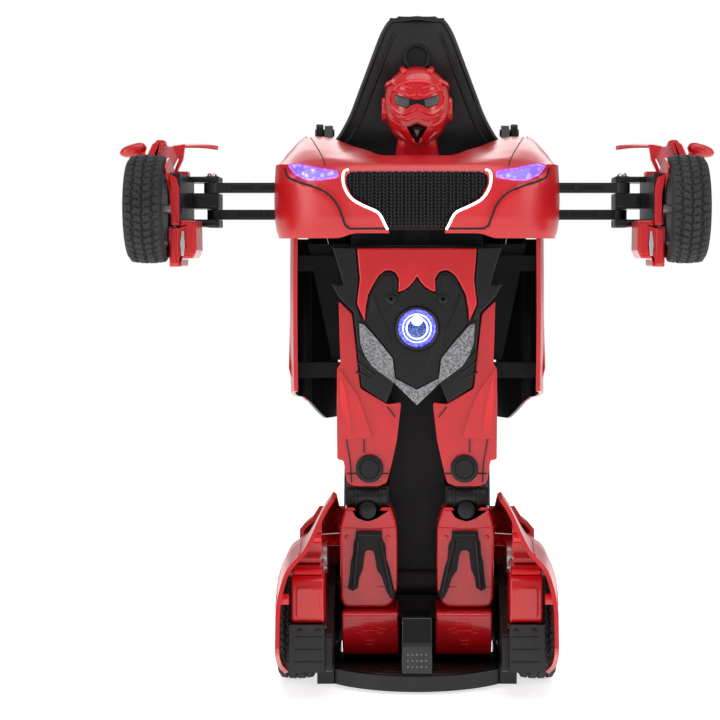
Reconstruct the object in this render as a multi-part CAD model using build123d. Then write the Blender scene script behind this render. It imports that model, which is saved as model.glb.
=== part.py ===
"""Transforming robot car, modelled standing as a robot.

Frame: millimetres, +Z up, the robot faces -Y and +X is on the viewer's right. The origin is on the ground,
straight under the main hinge. The rear half of the car stays level on the ground as the robot's base. The torso
carries the windscreen and doors on its back, and swings forward about the main hinge until it lies flat. The
chest is the car's nose: it stays level all the way down, and so do the front wheels on their folding arms.
"""

from build123d import *
from math import cos, pi, radians, sin
import os

# driving dimensions
WALL = 2.2  # moulded shell wall
PIN_GAP = 0.05  # radial clearance of every running pin
HINGE_Z = 45.0  # main hinge height, above the origin
CHANNEL = 40.5  # half width of the slot that the legs swing through
WHEEL_R, WHEEL_W = 26.0, 18.0
REAR_AXLE = (-22.0, 26.0)  # y, z
WHEEL_X = 60.0  # wheel middle, car and rear
CHEST_HINGE = (23.0, 277.0)  # y, z of the chest hinge on the torso
NOSE_Y, NOSE_BACK = -60.0, 27.0  # chest front and rear
ARCH = (0.0, 235.0)  # y, z of the front wheel arch, in the chest
ARM_X, ARM_LENGTH = 40.0, 62.0
ARM_FRONT_Y, ARM_REAR_Y = -26.0, -12.0  # the two arm posts
ARM_SWING = 96.0  # degrees the arms swing through
TORSO_FRONT = -39.0
LEG_FRONT = -34.0
LAMP_Z = 177.0  # middle of the round chest lamp
KNEE = (23.6, 107.0)  # x, z of the knee caps
SPREAD_OUT = ARM_LENGTH * (1 - cos(radians(ARM_SWING)))  # how far the hand moves sideways
SPREAD_FORWARD = ARM_LENGTH * sin(radians(ARM_SWING))  # and forwards
HAND_X = ARM_X + ARM_LENGTH
FRONT_WHEEL = (WHEEL_X + SPREAD_OUT, ARCH[0] - SPREAD_FORWARD, ARCH[1])

parts = {}


# drawing helpers
def face_of(points, rounding=0.0):
    face = make_face(Polyline(*points, close=True))
    return fillet(face.vertices(), rounding) if rounding else face


def prism_x(points, x0, x1, rounding=0.0):
    """Outline in (y, z), between two x."""
    return extrude(Plane.YZ.offset(x0) * face_of(points, rounding), amount=x1 - x0)


def prism_y(points, y0, y1, rounding=0.0):
    """Outline in (x, z), between two y."""
    return extrude(Plane.XZ.offset(-y1) * face_of(points, rounding), amount=y1 - y0)


def prism_z(points, z0, z1, rounding=0.0):
    """Outline in (x, y), between two z."""
    return extrude(Plane.XY.offset(z0) * face_of(points, rounding), amount=z1 - z0)


def block(x0, x1, y0, y1, z0, z1):
    return Pos((x0 + x1) / 2, (y0 + y1) / 2, (z0 + z1) / 2) * Box(x1 - x0, y1 - y0, z1 - z0)


def rod_x(radius, x0, x1, y, z):
    return Pos((x0 + x1) / 2, y, z) * Rot(0, 90, 0) * Cylinder(radius, x1 - x0)


def rod_y(radius, y0, y1, x, z):
    return Pos(x, (y0 + y1) / 2, z) * Rot(90, 0, 0) * Cylinder(radius, y1 - y0)


def rod_z(radius, z0, z1, x, y):
    return Pos(x, y, (z0 + z1) / 2) * Cylinder(radius, z1 - z0)


def mirrored(points):
    """A right-hand outline from the middle line round to the middle line, with its left-hand copy."""
    left = [(-x, y) for x, y in reversed(points) if x > 1e-6]
    return list(points) + left


def flip(shape):
    return mirror(shape, about=Plane.YZ)


def pair(shape):
    return Compound(children=[*shape.solids(), *flip(shape).solids()])


def save(name, shape):
    parts[name] = shape


def save_sides(name, right):
    """The +X piece is the right one on the page: the robot's own left hand is on +X."""
    save("left_" + name, right)
    save("right_" + name, flip(right))


# the car's outlines, as seen from the front, from the side and from above
def nose_form(inset):
    """The chest's outer form, or the same form moved in by inset and left open below and behind."""
    i = inset
    under = 20.0 if i else 0.0
    front = [(0, 225 - under), (38, 225 - under), (44, 221 - under), (66 - i, 221 - under), (70.5 - i, 236),
             (71 - i, 260), (60 - i / 2, 273 - i), (45, 276 - i), (0, 278 - i)]
    side = [(-53 + i, 220 - under), (-60 + i, 236), (-59 + i, 252 - i), (-50 + i, 258 - i), (-35, 263.5 - i),
            (0, 271 - i), (NOSE_BACK + under, 276 - i), (NOSE_BACK + under, 220 - under)]
    plan = [(0, NOSE_Y + i), (30, -59 + i), (50 - i / 2, -54 + i), (64 - i, -42 + i / 2), (71 - i, -24),
            (71 - i, NOSE_BACK + under), (0, NOSE_BACK + under)]
    return (prism_y(mirrored(front), -70, 60) & prism_x(side, -72, 72) & prism_z(mirrored(plan), 190, 290))


def rear_form(inset):
    """The rear half of the car's outer form, or the same form moved in and left open below and in front."""
    i = inset
    under = 20.0 if i else 0.0
    front = [(0, 10 - under), (66 - i, 10 - under), (70 - i, 24), (70 - i, 48), (67 - i, 62), (60 - i, 70 - i / 2),
             (56 - i, 73 - i / 2), (42 - i, 96 - i), (38 - i, 99 - i), (0, 101 - i)]
    side = [(-60 - under, 10 - under), (-97 - under, 28), (-92 - under, 60), (-66 - under, 99 - i), (-40, 99 - i),
            (0, 88 - i), (34, 81 - i), (52 - i, 70 - i), (54 - i, 42), (50 - i, 14), (44 - i, 10 - under)]
    plan = [(0, 54 - i), (38, 54 - i), (58 - i / 2, 47 - i), (67 - i, 27 - i / 2), (70 - i, 4), (70 - i, -36),
            (66 - i, -98 - under), (0, -98 - under)]
    return (prism_y(mirrored(front), -120, 60) & prism_x(side, -72, 72) & prism_z(mirrored(plan), -20, 110))


def back_profile(z):
    """The y of the torso's outer back, which is the car's bonnet insert, windscreen and roof."""
    stops = [(16, 31.5), (48, 33), (80, 35), (112, 48), (140, 54.5), (165, 56), (190, 53.5), (265, 22), (300, 16),
             (336, 8)]
    for (z0, y0), (z1, y1) in zip(stops, stops[1:]):
        if z <= z1:
            return y0 + (y1 - y0) * (z - z0) / (z1 - z0)
    return stops[-1][1]


# base: the level rear half
def make_base():
    hollow = rear_form(0) - rear_form(WALL)
    swing_slot = block(-CHANNEL, CHANNEL, -120, 36.5, -10, 130)
    arch = rod_x(29.5, 46, 80, *REAR_AXLE)
    side = (hollow - swing_slot - arch) & block(CHANNEL, 80, -120, 36, 8, 130)
    side = max(side.solids(), key=lambda s: s.volume)
    save_sides("rear_shell", side)
    tail = hollow & block(-80, 80, 36.5, 60, 8, 130)
    lamp_slot = pair(block(24, 60, 36, 60, 56, 63))
    tail = tail - lamp_slot
    tail = tail - block(-3.4, 8.4, 36, 60, 19.6, 24.4)
    save("tail_panel", max(tail.solids(), key=lambda s: s.volume))
    lamp = block(24.3, 59.7, 36.8, 60, 56.3, 62.7) & (rear_form(0.3) - rear_form(WALL + 1.2))
    save("tail_lamps", pair(max(lamp.solids(), key=lambda s: s.volume)))

    rail = prism_x([(-66, 12), (-66, 30), (-12, 56), (12, 56), (46, 40), (46, 12)], 41, 44, 2)
    rail = rail - rod_x(3 + PIN_GAP, 40, 45, 0, HINGE_Z)
    floor_plate = block(44, 49, -46, 43, 12, 14)
    front_step = block(44, 57, -66, -63, 12, 30)
    chassis = block(-44, 44, 44, 46, 12, 40)
    for piece in (rail, floor_plate, front_step):
        chassis = chassis + piece + flip(piece)
    save("chassis", chassis)
    save("hinge_pin", rod_x(3, -46.5, 46.5, 0, HINGE_Z))

    disc = (rod_z(54, 1.5, 9, 0, -8) & block(-49.3, 49.3, -70, 60, 0, 12)) - block(-40, 40, -29, 29, 2.5, 12)
    pad = block(41, 49.3, -44, 30, 1.5, 11.9)
    disc = disc + pad + flip(pad)
    screw_places = [(x, y) for x in (-45.5, 45.5) for y in (-38, 24)]
    for x, y in screw_places:
        disc = disc - rod_z(2.2, 1, 4.6, x, y)
    save("base_disc", disc)
    save("sensor_post", prism_x([(-60, 9.05), (-60, 24), (-56, 37), (-50, 37), (-50, 9.05)], -7.5, 7.5, 1.5))

    cover = prism_x([(-74, 37.2), (-75, 58), (-72, 63), (-50.5, 64), (-50.5, 37.2)], 44.2, 60, 1.5)
    save("drive_covers", pair(cover))
    box = block(44.2, 58.5, -76, -66.2, 14, 37) + block(57.1, 61, -76, -54, 14, 37)
    save("gearboxes", pair(box))
    save("drive_motors", pair(rod_x(8, 44.3, 50.3, -38, 64)))
    save("battery_pack", pair(block(49.2, 59, 9, 30, 15, 50)))
    save("battery_door", block(-40, 40, 46.05, 47.8, 15, 38))
    save("circuit_board", block(46, 60, 9, 34, 54, 55.6))
    screws = [rod_z(2.0, 2.4, 4.55, x, y) for x, y in screw_places]
    save("base_screws", Compound(children=screws))


def tyre(x, y, z, width=WHEEL_W):
    """A ribbed tyre about an axle along X."""
    body = rod_x(WHEEL_R, x - width / 2, x + width / 2, y, z)
    body = fillet(body.edges(), 3.5)
    body = body - rod_x(18.5, x - width, x + width, y, z)
    for groove in (-3.5, 3.5):
        ring = rod_x(WHEEL_R + 1, x + groove - 0.6, x + groove + 0.6, y, z)
        body = body - (ring - rod_x(WHEEL_R - 1.2, x + groove - 0.7, x + groove + 0.7, y, z))
    return body


def rim(x, y, z, outward, axle_to):
    """A ten-spoke rim and its stub axle, with spokes on the outward side."""
    half = WHEEL_W / 2
    ring = rod_x(18.45, x - half + 1, x + half - 1, y, z) - rod_x(16.2, x - half, x + half, y, z)
    inner, outer = sorted((x + outward * 3, x + outward * 6))
    disc = rod_x(6, inner, outer, y, z)
    for k in range(10):
        turn = 2 * pi * k / 10
        spoke = Pos((inner + outer) / 2, y + 11 * cos(turn), z + 11 * sin(turn)) * Rot(k * 36, 0, 0) * Box(
            outer - inner, 12, 2.6)
        disc = disc + spoke
    a, b = sorted((x + outward * 4, axle_to))
    return ring + disc + rod_x(2.5, a, b, y, z)


def make_wheels():
    save_sides("rear_tyre", tyre(WHEEL_X, *REAR_AXLE))
    save_sides("rear_rim", rim(WHEEL_X, *REAR_AXLE, 1, 45.2))
    save_sides("front_tyre", tyre(*FRONT_WHEEL))
    save_sides("front_rim", rim(*FRONT_WHEEL, 1, HAND_X + 11.5))


# torso: everything that swings on the main hinge
def make_back():
    """The windscreen panel is one moulding: bonnet insert, windscreen, roof and rear window."""
    zs = [16, 48, 80, 96, 112, 126, 140, 152, 165, 178, 190, 240, 265, 300, 336]
    outer = [(back_profile(z), z) for z in zs]
    inner = [(back_profile(z) - 2.4, z) for z in reversed(zs)]
    outline = [(0, 336), (14, 336), (18, 329), (34.5, 287), (42.5, 273), (56, 262), (41, 190), (39, 165), (39, 16),
               (0, 16)]
    panel = prism_x(outer + inner, -60, 60) & prism_y(mirrored(outline), 0, 70)
    ear = prism_x([(22, 262.5), (17.2, 264), (17.2, 272), (18.5, 281.5), (27.5, 281.5), (27.5, 272), (22, 266)], 49, 52.5)
    ear = ear - rod_x(2 + PIN_GAP, 48, 54, *CHEST_HINGE)
    save("windscreen_panel", panel + ear + flip(ear))

    door_side = [(-33, 145.5), (-33, 222), (18, 222), (18, 248), (28, 248), (50.5, 193), (50, 125),
                 (36, 126), (15, 139.2)]
    section = [(61, -40), (64, -16), (64, 4), (61.5, 14), (57, 20), (43.5, 50), (41.2, 50), (55.2, 18.6), (59.6, 12.8),
               (61.8, 3.5), (61.8, -16), (58.8, -40)]
    door = prism_z(section, 120, 260) & prism_x(door_side, 30, 70)
    glass_gap = [(0, 262), (57, 262), (42, 190), (40.2, 165), (40.2, 100), (0, 100)]
    door = door - prism_y(mirrored(glass_gap), 0, 70)
    save_sides("door", max(door.solids(), key=lambda s: s.volume))


def make_spine():
    """The black board behind the legs, with the hinge barrel, the beams to the doors and the knee blocks."""
    spine = prism_y(mirrored([(0, 228), (33, 228), (36, 200), (36, 60), (30, 30), (0, 30)]), -2, 4)
    spine = spine + rod_x(7, -36, 36, 0, HINGE_Z)
    for z in (150, 205):
        spine = spine + prism_z(mirrored([(0, 4), (61.6, 4), (60.4, 9), (0, 9)]), z, z + 8)
    spine = spine + block(-7, 7, -8, 3, 218.5, 262)
    for z in (60, 120, 180):
        rib = block(-20, 20, 4, back_profile(z) - 4, z, z + 3)
        spine = spine + rib
    knee = block(14, 35.5, LEG_FRONT + 5, -2, 88, 97.5) + rod_x(5, 15, 34.5, LEG_FRONT + 7, 92.5)
    spine = spine + knee + flip(knee)
    save("spine_frame", spine - rod_x(3 + PIN_GAP, -50, 50, 0, HINGE_Z))


def make_torso_front():
    front = TORSO_FRONT
    red = [(0, 216.5), (29.5, 216.5), (28.2, 201), (29.6, 189), (25.5, 180), (24, 193.6), (20.7, 200), (15.5, 205.5),
           (10.7, 204.5), (8.8, 201), (9.3, 194.5), (4, 197.4), (0, 202.7)]
    save("belly_plate", prism_y(mirrored(red), front + 1, front + 4))
    core = [(0, 202.2), (4.2, 197), (9.6, 194), (9.3, 201), (11, 204), (15.4, 205), (20.3, 199.6), (23.5, 193.2),
            (25.2, 179.8), (11.2, 162), (10.2, 152.5), (0, 147)]
    plate = prism_y(mirrored(core), front + 1.6, front + 6) - rod_y(11.2, front, front + 10, 0, LAMP_Z)
    save("core_plate", plate)
    bezel = rod_y(11, front, front + 5, 0, LAMP_Z) - rod_y(9.2, front - 1, front + 6, 0, LAMP_Z)
    lens = rod_y(9.1, front + 0.6, front + 5, 0, LAMP_Z)
    save("chest_lamp", Compound(children=[*bezel.solids(), *lens.solids()]))
    right = [(0.0, 138.6), (10.8, 149.4), (22.3, 158.2), (28, 169.7), (28.6, 179.7), (26, 179), (11.7, 161.8),
             (10.6, 152.1), (0.0, 146.5)]
    save("core_trim", prism_y(mirrored(right), front + 2.4, front + 6))
    wing = [(30, 217), (42.4, 217.5), (39, 208), (36.2, 198.4), (42.4, 199.3), (39, 192.6), (31.6, 185),
            (28.9, 180.2), (26.4, 180.2), (30.2, 189), (28.8, 201)]
    save("waist_wings", pair(prism_y(wing, front + 1.6, front + 5)))
    tub = [(0, 218), (33, 218), (33.5, 190), (31.4, 184), (27.6, 147.7), (15.2, 139.6), (11.3, 149), (0, 149)]
    save("torso_tub", prism_y(mirrored(tub), front + 6.1, -2.05))


def make_legs():
    thigh = [(7.5, 140), (14.6, 138.9), (28.4, 147), (32.2, 184), (39, 190.7), (38, 159), (40, 156.8), (40, 111.3),
             (36.7, 111), (35, 100), (31, 98), (19, 98), (14.5, 100), (10, 121)]
    shell = prism_y(thigh, LEG_FRONT + 2, -8)
    shell = shell - block(0, 34.2, LEG_FRONT + 8, 0, 138, 200)
    guard = [(38.5, 157), (39.9, 155), (38.7, 122), (35, 122), (22, 122.5), (29, 143)]
    guard = prism_y(guard, LEG_FRONT - 1, LEG_FRONT + 3)
    save_sides("thigh", shell + guard)
    save("knee_caps", pair(rod_y(7, LEG_FRONT - 1.3, LEG_FRONT + 1.9, *KNEE)))
    shin = prism_y([(12.5, 87.5), (36.5, 87.5), (39, 80), (38.5, 41), (36.5, 37.2), (14, 37.2), (9.8, 46), (9.7, 80)],
                   LEG_FRONT + 2, -8, 1.0)
    save_sides("shin", shin)
    brace = [(30, 76), (17, 76), (16, 66), (9.9, 43), (14, 41.5), (18.5, 52), (21, 65), (26, 65), (28.5, 48),
             (33.5, 48), (31.5, 66)]
    save("shin_braces", pair(prism_y(brace, LEG_FRONT - 0.4, LEG_FRONT + 1.95)))
    foot = block(9.2, 37.5, -43, -4, 12, 36.6) & rod_x(42, 0, 40, 0, HINGE_Z)
    foot = foot - rod_x(7.6, 0, 40, 0, HINGE_Z)
    save_sides("foot", foot)


def make_head():
    helmet_front = [(0, 309), (9, 308), (13.5, 304), (16.6, 294), (16.6, 286), (14, 276), (7, 270), (0, 267.5)]
    helmet_side = [(-20, 276), (-21, 284), (-19, 298), (-12, 307), (2, 309), (12, 303), (14, 288), (10, 274), (-6, 268),
                   (-16, 270)]
    form = prism_y(mirrored(helmet_front), -24, 18) & prism_x(helmet_side, -18, 18)
    eye_slot = block(-11, 11, -26, -17.5, 287, 294)
    mouth_slot = prism_y(mirrored([(0, 281), (5.5, 278), (2, 270), (0, 268)]), -26, -16.5)
    neck = prism_z([(-11, -9), (11, -9), (9, 8), (-9, 8)], 262.1, 269)
    save("helmet", form - eye_slot - mouth_slot + neck)
    visor = block(-10.8, 10.8, -24, -17.6, 287.2, 293.8) & prism_x(helmet_side, -18, 18)
    mouth = prism_y(mirrored([(0, 280.6), (5.1, 277.8), (1.8, 270.3), (0, 268.6)]), -24, -16.7)
    mouth = mouth & prism_x(helmet_side, -18, 18)
    save("face_inserts", Compound(children=[*visor.solids(), *mouth.solids()]))


# chest: the car's nose
def make_chest():
    shell = nose_form(0) - nose_form(WALL)
    arch = rod_x(29.5, 49, 90, *ARCH) + block(62, 90, -32, 40, 200, 258)
    shell = shell - arch - flip(arch)
    hood_gap = [(0, -38.5), (18, -38.5), (21, -32), (35, 8), (54.5, 8), (54.5, 17), (57.8, 17), (57.8, 30),
                (0, 30)]
    shell = shell - prism_z(mirrored(hood_gap), 255, 290)
    grille_gap = [(0, 254), (34, 254), (35, 248), (31, 240), (17, 232.5), (13, 225.2), (0, 225.2)]
    shell = shell - prism_y(mirrored(grille_gap), -70, -52)
    lamp_gap = [(37.4, 254.4), (37.6, 249.8), (46.8, 248.5), (53.6, 248.7), (60, 251.6), (64.2, 257.6), (58.4, 258.4)]
    gap = prism_y(lamp_gap, -70, -26)
    shell = shell - gap - flip(gap)
    shell = max(shell.solids(), key=lambda s: s.volume)
    save("nose_shell", shell)
    grille = [(0, 253.6), (33.5, 253.6), (34.6, 248), (30.8, 240.4), (16.8, 233), (12.8, 225.6), (0, 225.6)]
    save("grille", prism_y(mirrored(grille), -57, -52.5))
    trim_line = [(34.6, 253.8), (35.8, 252.6), (35.9, 247.4), (31.7, 239.2), (17.9, 231.9), (14.2, 225.4),
                 (13.2, 225.4), (17.1, 232.4), (31.1, 239.8), (35.1, 247.6)]
    trim = prism_y(trim_line, -70, -40) & (nose_form(-0.6) - nose_form(-0.02))
    save("grille_trim", pair(max(trim.solids(), key=lambda s: s.volume)))
    lamp = [(37.9, 253.8), (38.1, 250.2), (46.8, 249), (53.6, 249.2), (59.7, 252), (63.4, 257.2), (58.4, 258)]
    lens = prism_y(lamp, -70, -20) & (nose_form(0.3) - nose_form(2.1))
    save("headlights", pair(max(lens.solids(), key=lambda s: s.volume)))
    frame = block(-46, 46, -51, -47, 228, 240)
    shelf = block(24, 46, -49, -6, 251, 254)
    under = block(24, 46, -49, -6, 224, 227)
    web = block(24, 28, -49, -20, 226, 252)
    rail = block(44, 48, -31, 12, 254, 260)
    arm = prism_x([(4, 254), (4, 262), (19, 280.5), (25, 281.2), (27.2, 277), (25, 272.8), (18, 272), (12, 262),
                   (12, 254)], 44, 48)
    posts = rod_z(2, 243, 252, ARM_X, ARM_FRONT_Y) + rod_z(2, 226, 242, ARM_X, ARM_REAR_Y)
    side = shelf + under + web + rail + arm + posts
    side = side - rod_x(2 + PIN_GAP, 43, 49, *CHEST_HINGE)
    save("chest_frame", frame + side + flip(side))
    save("chest_pins", pair(rod_x(2, 43.2, 53.2, *CHEST_HINGE)))


# arms: two links each side on upright posts, and a hand that stays square to the car
def make_arms():
    hole = 2 + PIN_GAP

    def link(y, z0, z1, step):
        inner = block(ARM_X, ARM_X + 24, y - 3, y + 3, z0 + step, z1 + step)
        outer = block(ARM_X + 20, HAND_X, y - 3, y + 3, z0, z1)
        joggle = prism_y([(ARM_X + 20, z0), (ARM_X + 27, z0), (ARM_X + 24, z1 + step), (ARM_X + 17, z1 + step)],
                         y - 3, y + 3)
        bar = inner + outer + joggle if step else block(ARM_X, HAND_X, y - 3, y + 3, z0, z1)
        bar = bar + rod_z(4, z0 + step, z1 + step, ARM_X, y) + rod_z(4, z0, z1, HAND_X, y)
        for x in (ARM_X, HAND_X):
            bar = bar - rod_z(hole, z0 - 5, z1 + step + 5, x, y)
        return bar

    save_sides("upper_link", link(ARM_FRONT_Y, 244, 249, 0))
    save_sides("lower_link", link(ARM_REAR_Y, 231, 236, 5))

    x, y_wheel = HAND_X, FRONT_WHEEL[1]
    plate = block(x + 11, x + 15, y_wheel - 3.9, ARM_REAR_Y + 4, 227, 252)
    bracket = plate
    for z0, z1 in ((227.2, 230.8), (236.2, 243.8), (249.2, 252)):
        bracket = bracket + block(x - 3.5, x + 12, ARM_FRONT_Y - 3.5, ARM_REAR_Y + 3.5, z0, z1)
    bracket = bracket + rod_z(2, 243, 252, x, ARM_FRONT_Y) + rod_z(1.6, 229, 237, x, ARM_REAR_Y)
    bracket = bracket + block(x + 11, x + 22, ARM_REAR_Y - 8, ARM_REAR_Y + 2, 249.5, 252)
    save_sides("hand_bracket", bracket - rod_x(2.5 + PIN_GAP, x, x + 20, y_wheel, FRONT_WHEEL[2]))
    caliper = block(x + 3, x + 10.9, y_wheel - 6, y_wheel + 22, 207, 229.8)
    caliper = caliper + block(x + 11, x + 16.5, y_wheel - 6, y_wheel + 22, 207, 226.9)
    save_sides("caliper", caliper)
    fy0, fy1 = 28.5 - SPREAD_FORWARD, 76 - SPREAD_FORWARD
    s = SPREAD_OUT
    fender_front = [(66.3 + s, 222), (68 + s, 240), (67 + s, 260), (62 + s, 269), (58 + s, 270.5), (57.6 + s, 268.4),
                    (60.5 + s, 266.6), (64.9 + s, 258), (66 + s, 240), (64.4 + s, 222)]
    fender = prism_y(fender_front, fy0, fy1)
    leaf = prism_y([(24 + s, 265.6), (34 + s, 268.8), (46 + s, 269), (57.8 + s, 269.4), (60 + s, 266), (62 + s, 256),
                    (60 + s, 254), (55 + s, 259), (46 + s, 264)], fy0 + 9.5, fy0 + 16.5)
    tie = block(HAND_X + 11, 65.4 + s, fy0 + 2, fy0 + 10, 252.1, 254.6)
    pod = fillet(rod_x(5, 67.6 + s, 80 + s, fy0 + 9.5, 266).edges(), 2.5)
    pod = pod + block(66.9 + s, 70 + s, fy0 + 7, fy0 + 12, 262, 264.5)
    save_sides("fender", Compound(children=[*(fender + leaf + tie).solids(), *(pod - fender).solids()]))


def make_switch():
    save("power_switch", block(-3, 3, 47.9, 51.6, 20, 24))


make_base()
make_wheels()
make_back()
make_spine()
make_torso_front()
make_legs()
make_head()
make_chest()
make_arms()
make_switch()

os.makedirs("parts", exist_ok=True)
for name, shape in parts.items():
    export_step(shape if isinstance(shape, Compound) else Compound(children=shape.solids()), f"parts/{name}.step")
print(len(parts), "nodes")
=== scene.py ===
"""Looks for the transforming robot car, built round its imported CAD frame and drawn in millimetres."""

import math

import bmesh
import bpy
import numpy as np
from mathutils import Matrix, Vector
from mathutils.bvhtree import BVHTree


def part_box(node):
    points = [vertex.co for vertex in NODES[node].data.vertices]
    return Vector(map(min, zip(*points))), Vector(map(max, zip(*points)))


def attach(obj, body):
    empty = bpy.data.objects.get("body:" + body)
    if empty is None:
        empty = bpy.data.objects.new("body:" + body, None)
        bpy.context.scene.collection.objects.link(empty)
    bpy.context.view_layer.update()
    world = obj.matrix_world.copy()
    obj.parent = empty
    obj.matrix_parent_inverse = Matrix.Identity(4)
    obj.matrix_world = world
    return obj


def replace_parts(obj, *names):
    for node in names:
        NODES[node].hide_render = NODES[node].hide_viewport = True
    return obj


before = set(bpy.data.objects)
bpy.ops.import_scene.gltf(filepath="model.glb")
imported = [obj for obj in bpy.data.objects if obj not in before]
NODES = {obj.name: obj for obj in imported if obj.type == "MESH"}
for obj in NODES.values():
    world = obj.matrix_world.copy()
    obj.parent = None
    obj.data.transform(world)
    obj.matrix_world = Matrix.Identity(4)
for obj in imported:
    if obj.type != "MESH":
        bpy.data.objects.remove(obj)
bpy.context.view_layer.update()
MM = 0.001
BOTH = (("left", 1), ("right", -1))


# materials -----------------------------------------------------------------------------------------------
def new_material(name, colour, rough, coat=0.0, metallic=0.0):
    """A principled material with its node tree, its shader and its object coordinates."""
    material = bpy.data.materials.new(name)
    material.use_nodes = True
    tree = material.node_tree
    shader = tree.nodes["Principled BSDF"]
    shader.inputs["Base Color"].default_value = (*colour, 1)
    shader.inputs["Roughness"].default_value = rough
    shader.inputs["Coat Weight"].default_value = coat
    shader.inputs["Coat Roughness"].default_value = 0.06
    shader.inputs["Metallic"].default_value = metallic
    coords = tree.nodes.new("ShaderNodeTexCoord").outputs["Object"]
    return material, tree, shader, coords


def noise(tree, coords, scale, detail=4.0, rough=0.6, stretch=None):
    node = tree.nodes.new("ShaderNodeTexNoise")
    node.inputs["Scale"].default_value = scale
    node.inputs["Detail"].default_value = detail
    node.inputs["Roughness"].default_value = rough
    if stretch:
        mapping = tree.nodes.new("ShaderNodeMapping")
        mapping.inputs["Scale"].default_value = stretch
        tree.links.new(coords, mapping.inputs["Vector"])
        coords = mapping.outputs["Vector"]
    tree.links.new(coords, node.inputs["Vector"])
    return node.outputs["Fac"]


def cells(tree, coords, scale):
    node = tree.nodes.new("ShaderNodeTexVoronoi")
    node.inputs["Scale"].default_value = scale
    tree.links.new(coords, node.inputs["Vector"])
    return node.outputs["Color"], node.outputs["Distance"]


def ramp(tree, value, stops):
    node = tree.nodes.new("ShaderNodeValToRGB")
    elements = node.color_ramp.elements
    for element, (at, colour) in zip(elements, stops[:2]):
        element.position, element.color = at, (*colour, 1)
    for at, colour in stops[2:]:
        elements.new(at).color = (*colour, 1)
    tree.links.new(value, node.inputs["Fac"])
    return node.outputs["Color"]


def bump(tree, shader, height, strength, distance=0.0002, target="Normal"):
    node = tree.nodes.new("ShaderNodeBump")
    node.inputs["Strength"].default_value = strength
    node.inputs["Distance"].default_value = distance
    tree.links.new(height, node.inputs["Height"])
    tree.links.new(node.outputs["Normal"], shader.inputs[target])


def spread(tree, value, low, high):
    node = tree.nodes.new("ShaderNodeMapRange")
    node.inputs["To Min"].default_value = low
    node.inputs["To Max"].default_value = high
    tree.links.new(value, node.inputs["Value"])
    return node.outputs["Result"]


def shade(colour, factor):
    return tuple(min(1.0, c * factor) for c in colour)


def car_paint(name, colour):
    """Satin pearl paint: fine flakes under a clear coat with a trace of orange peel."""
    material, tree, shader, coords = new_material(name, colour, 0.36, coat=0.55, metallic=0.12)
    soft = noise(tree, coords, 14, 2)
    body = ramp(tree, soft, [(0.3, shade(colour, 0.9)), (0.7, shade(colour, 1.1))])
    tree.links.new(body, shader.inputs["Base Color"])
    flakes, _ = cells(tree, coords, 2600)
    tree.links.new(spread(tree, flakes, 0.3, 0.44), shader.inputs["Roughness"])
    bump(tree, shader, flakes, 0.05, 0.0001)
    bump(tree, shader, noise(tree, coords, 420, 2), 0.06, 0.0001, "Coat Normal")
    shader.inputs["Coat Roughness"].default_value = 0.26
    return material


def moulded(name, colour, rough=0.3, coat=0.5, grain=0.12, scale=1500, edge_highlight_gain=1.25):
    """Moulded plastic: uneven sheen, fine surface grain, and a painted highlight that lightens the sharp
    convex edges.
    """
    material, tree, shader, coords = new_material(name, colour, rough, coat=coat)
    soft = noise(tree, coords, 30, 3)
    body = ramp(tree, soft, [(0.3, shade(colour, 0.86)), (0.7, shade(colour, 1.1))])
    # painted highlight: sharp convex edges, found by pointiness, are lightened by the last factor, in place
    # of light caught along the edges
    geometry = tree.nodes.new("ShaderNodeNewGeometry")
    painted_edge_highlight = ramp(tree, geometry.outputs["Pointiness"], [(0.52, (0, 0, 0)), (0.6, (1, 1, 1))])
    mix = tree.nodes.new("ShaderNodeMixRGB")
    tree.links.new(painted_edge_highlight, mix.inputs["Fac"])
    tree.links.new(body, mix.inputs["Color1"])
    mix.inputs["Color2"].default_value = (*shade(colour, edge_highlight_gain), 1)
    tree.links.new(mix.outputs["Color"], shader.inputs["Base Color"])
    tree.links.new(spread(tree, noise(tree, coords, 90, 5), rough * 0.8, rough * 1.25),
                   shader.inputs["Roughness"])
    bump(tree, shader, noise(tree, coords, scale, 3), grain)
    return material


def rubber(name):
    material, tree, shader, coords = new_material(name, (0.018, 0.018, 0.019), 0.72)
    dust = noise(tree, coords, 45, 6)
    tree.links.new(ramp(tree, dust, [(0.35, (0.012, 0.012, 0.013)), (0.75, (0.035, 0.034, 0.033))]),
                   shader.inputs["Base Color"])
    bump(tree, shader, noise(tree, coords, 1800, 4), 0.3)
    return material


def brushed(name, colour, rough=0.28):
    material, tree, shader, coords = new_material(name, colour, rough, metallic=1.0)
    lines = noise(tree, coords, 300, 4, stretch=(1, 12, 12))
    tree.links.new(spread(tree, lines, rough * 0.7, rough * 1.5), shader.inputs["Roughness"])
    tree.links.new(ramp(tree, lines, [(0.2, shade(colour, 0.8)), (0.8, shade(colour, 1.1))]),
                   shader.inputs["Base Color"])
    bump(tree, shader, lines, 0.08)
    return material


def speckled(name):
    """Grey moulding with fine light flecks."""
    material, tree, shader, coords = new_material(name, (0.17, 0.17, 0.18), 0.5, coat=0.2)
    flecks, _ = cells(tree, coords, 1500)
    body = ramp(tree, flecks, [(0.25, (0.1, 0.1, 0.105)), (0.8, (0.34, 0.34, 0.36))])
    tree.links.new(body, shader.inputs["Base Color"])
    bump(tree, shader, flecks, 0.2)
    return material


def lit(name, stops, scale, strength, coat=1.0):
    """A lit lens: the light breaks up into cells behind a clear cover."""
    material, tree, shader, coords = new_material(name, stops[0][1], 0.12, coat=coat)
    _, distance = cells(tree, coords, scale)
    glow = ramp(tree, distance, stops)
    tree.links.new(glow, shader.inputs["Base Color"])
    tree.links.new(glow, shader.inputs["Emission Color"])
    shader.inputs["Emission Strength"].default_value = strength
    bump(tree, shader, distance, 0.2)
    return material


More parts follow.
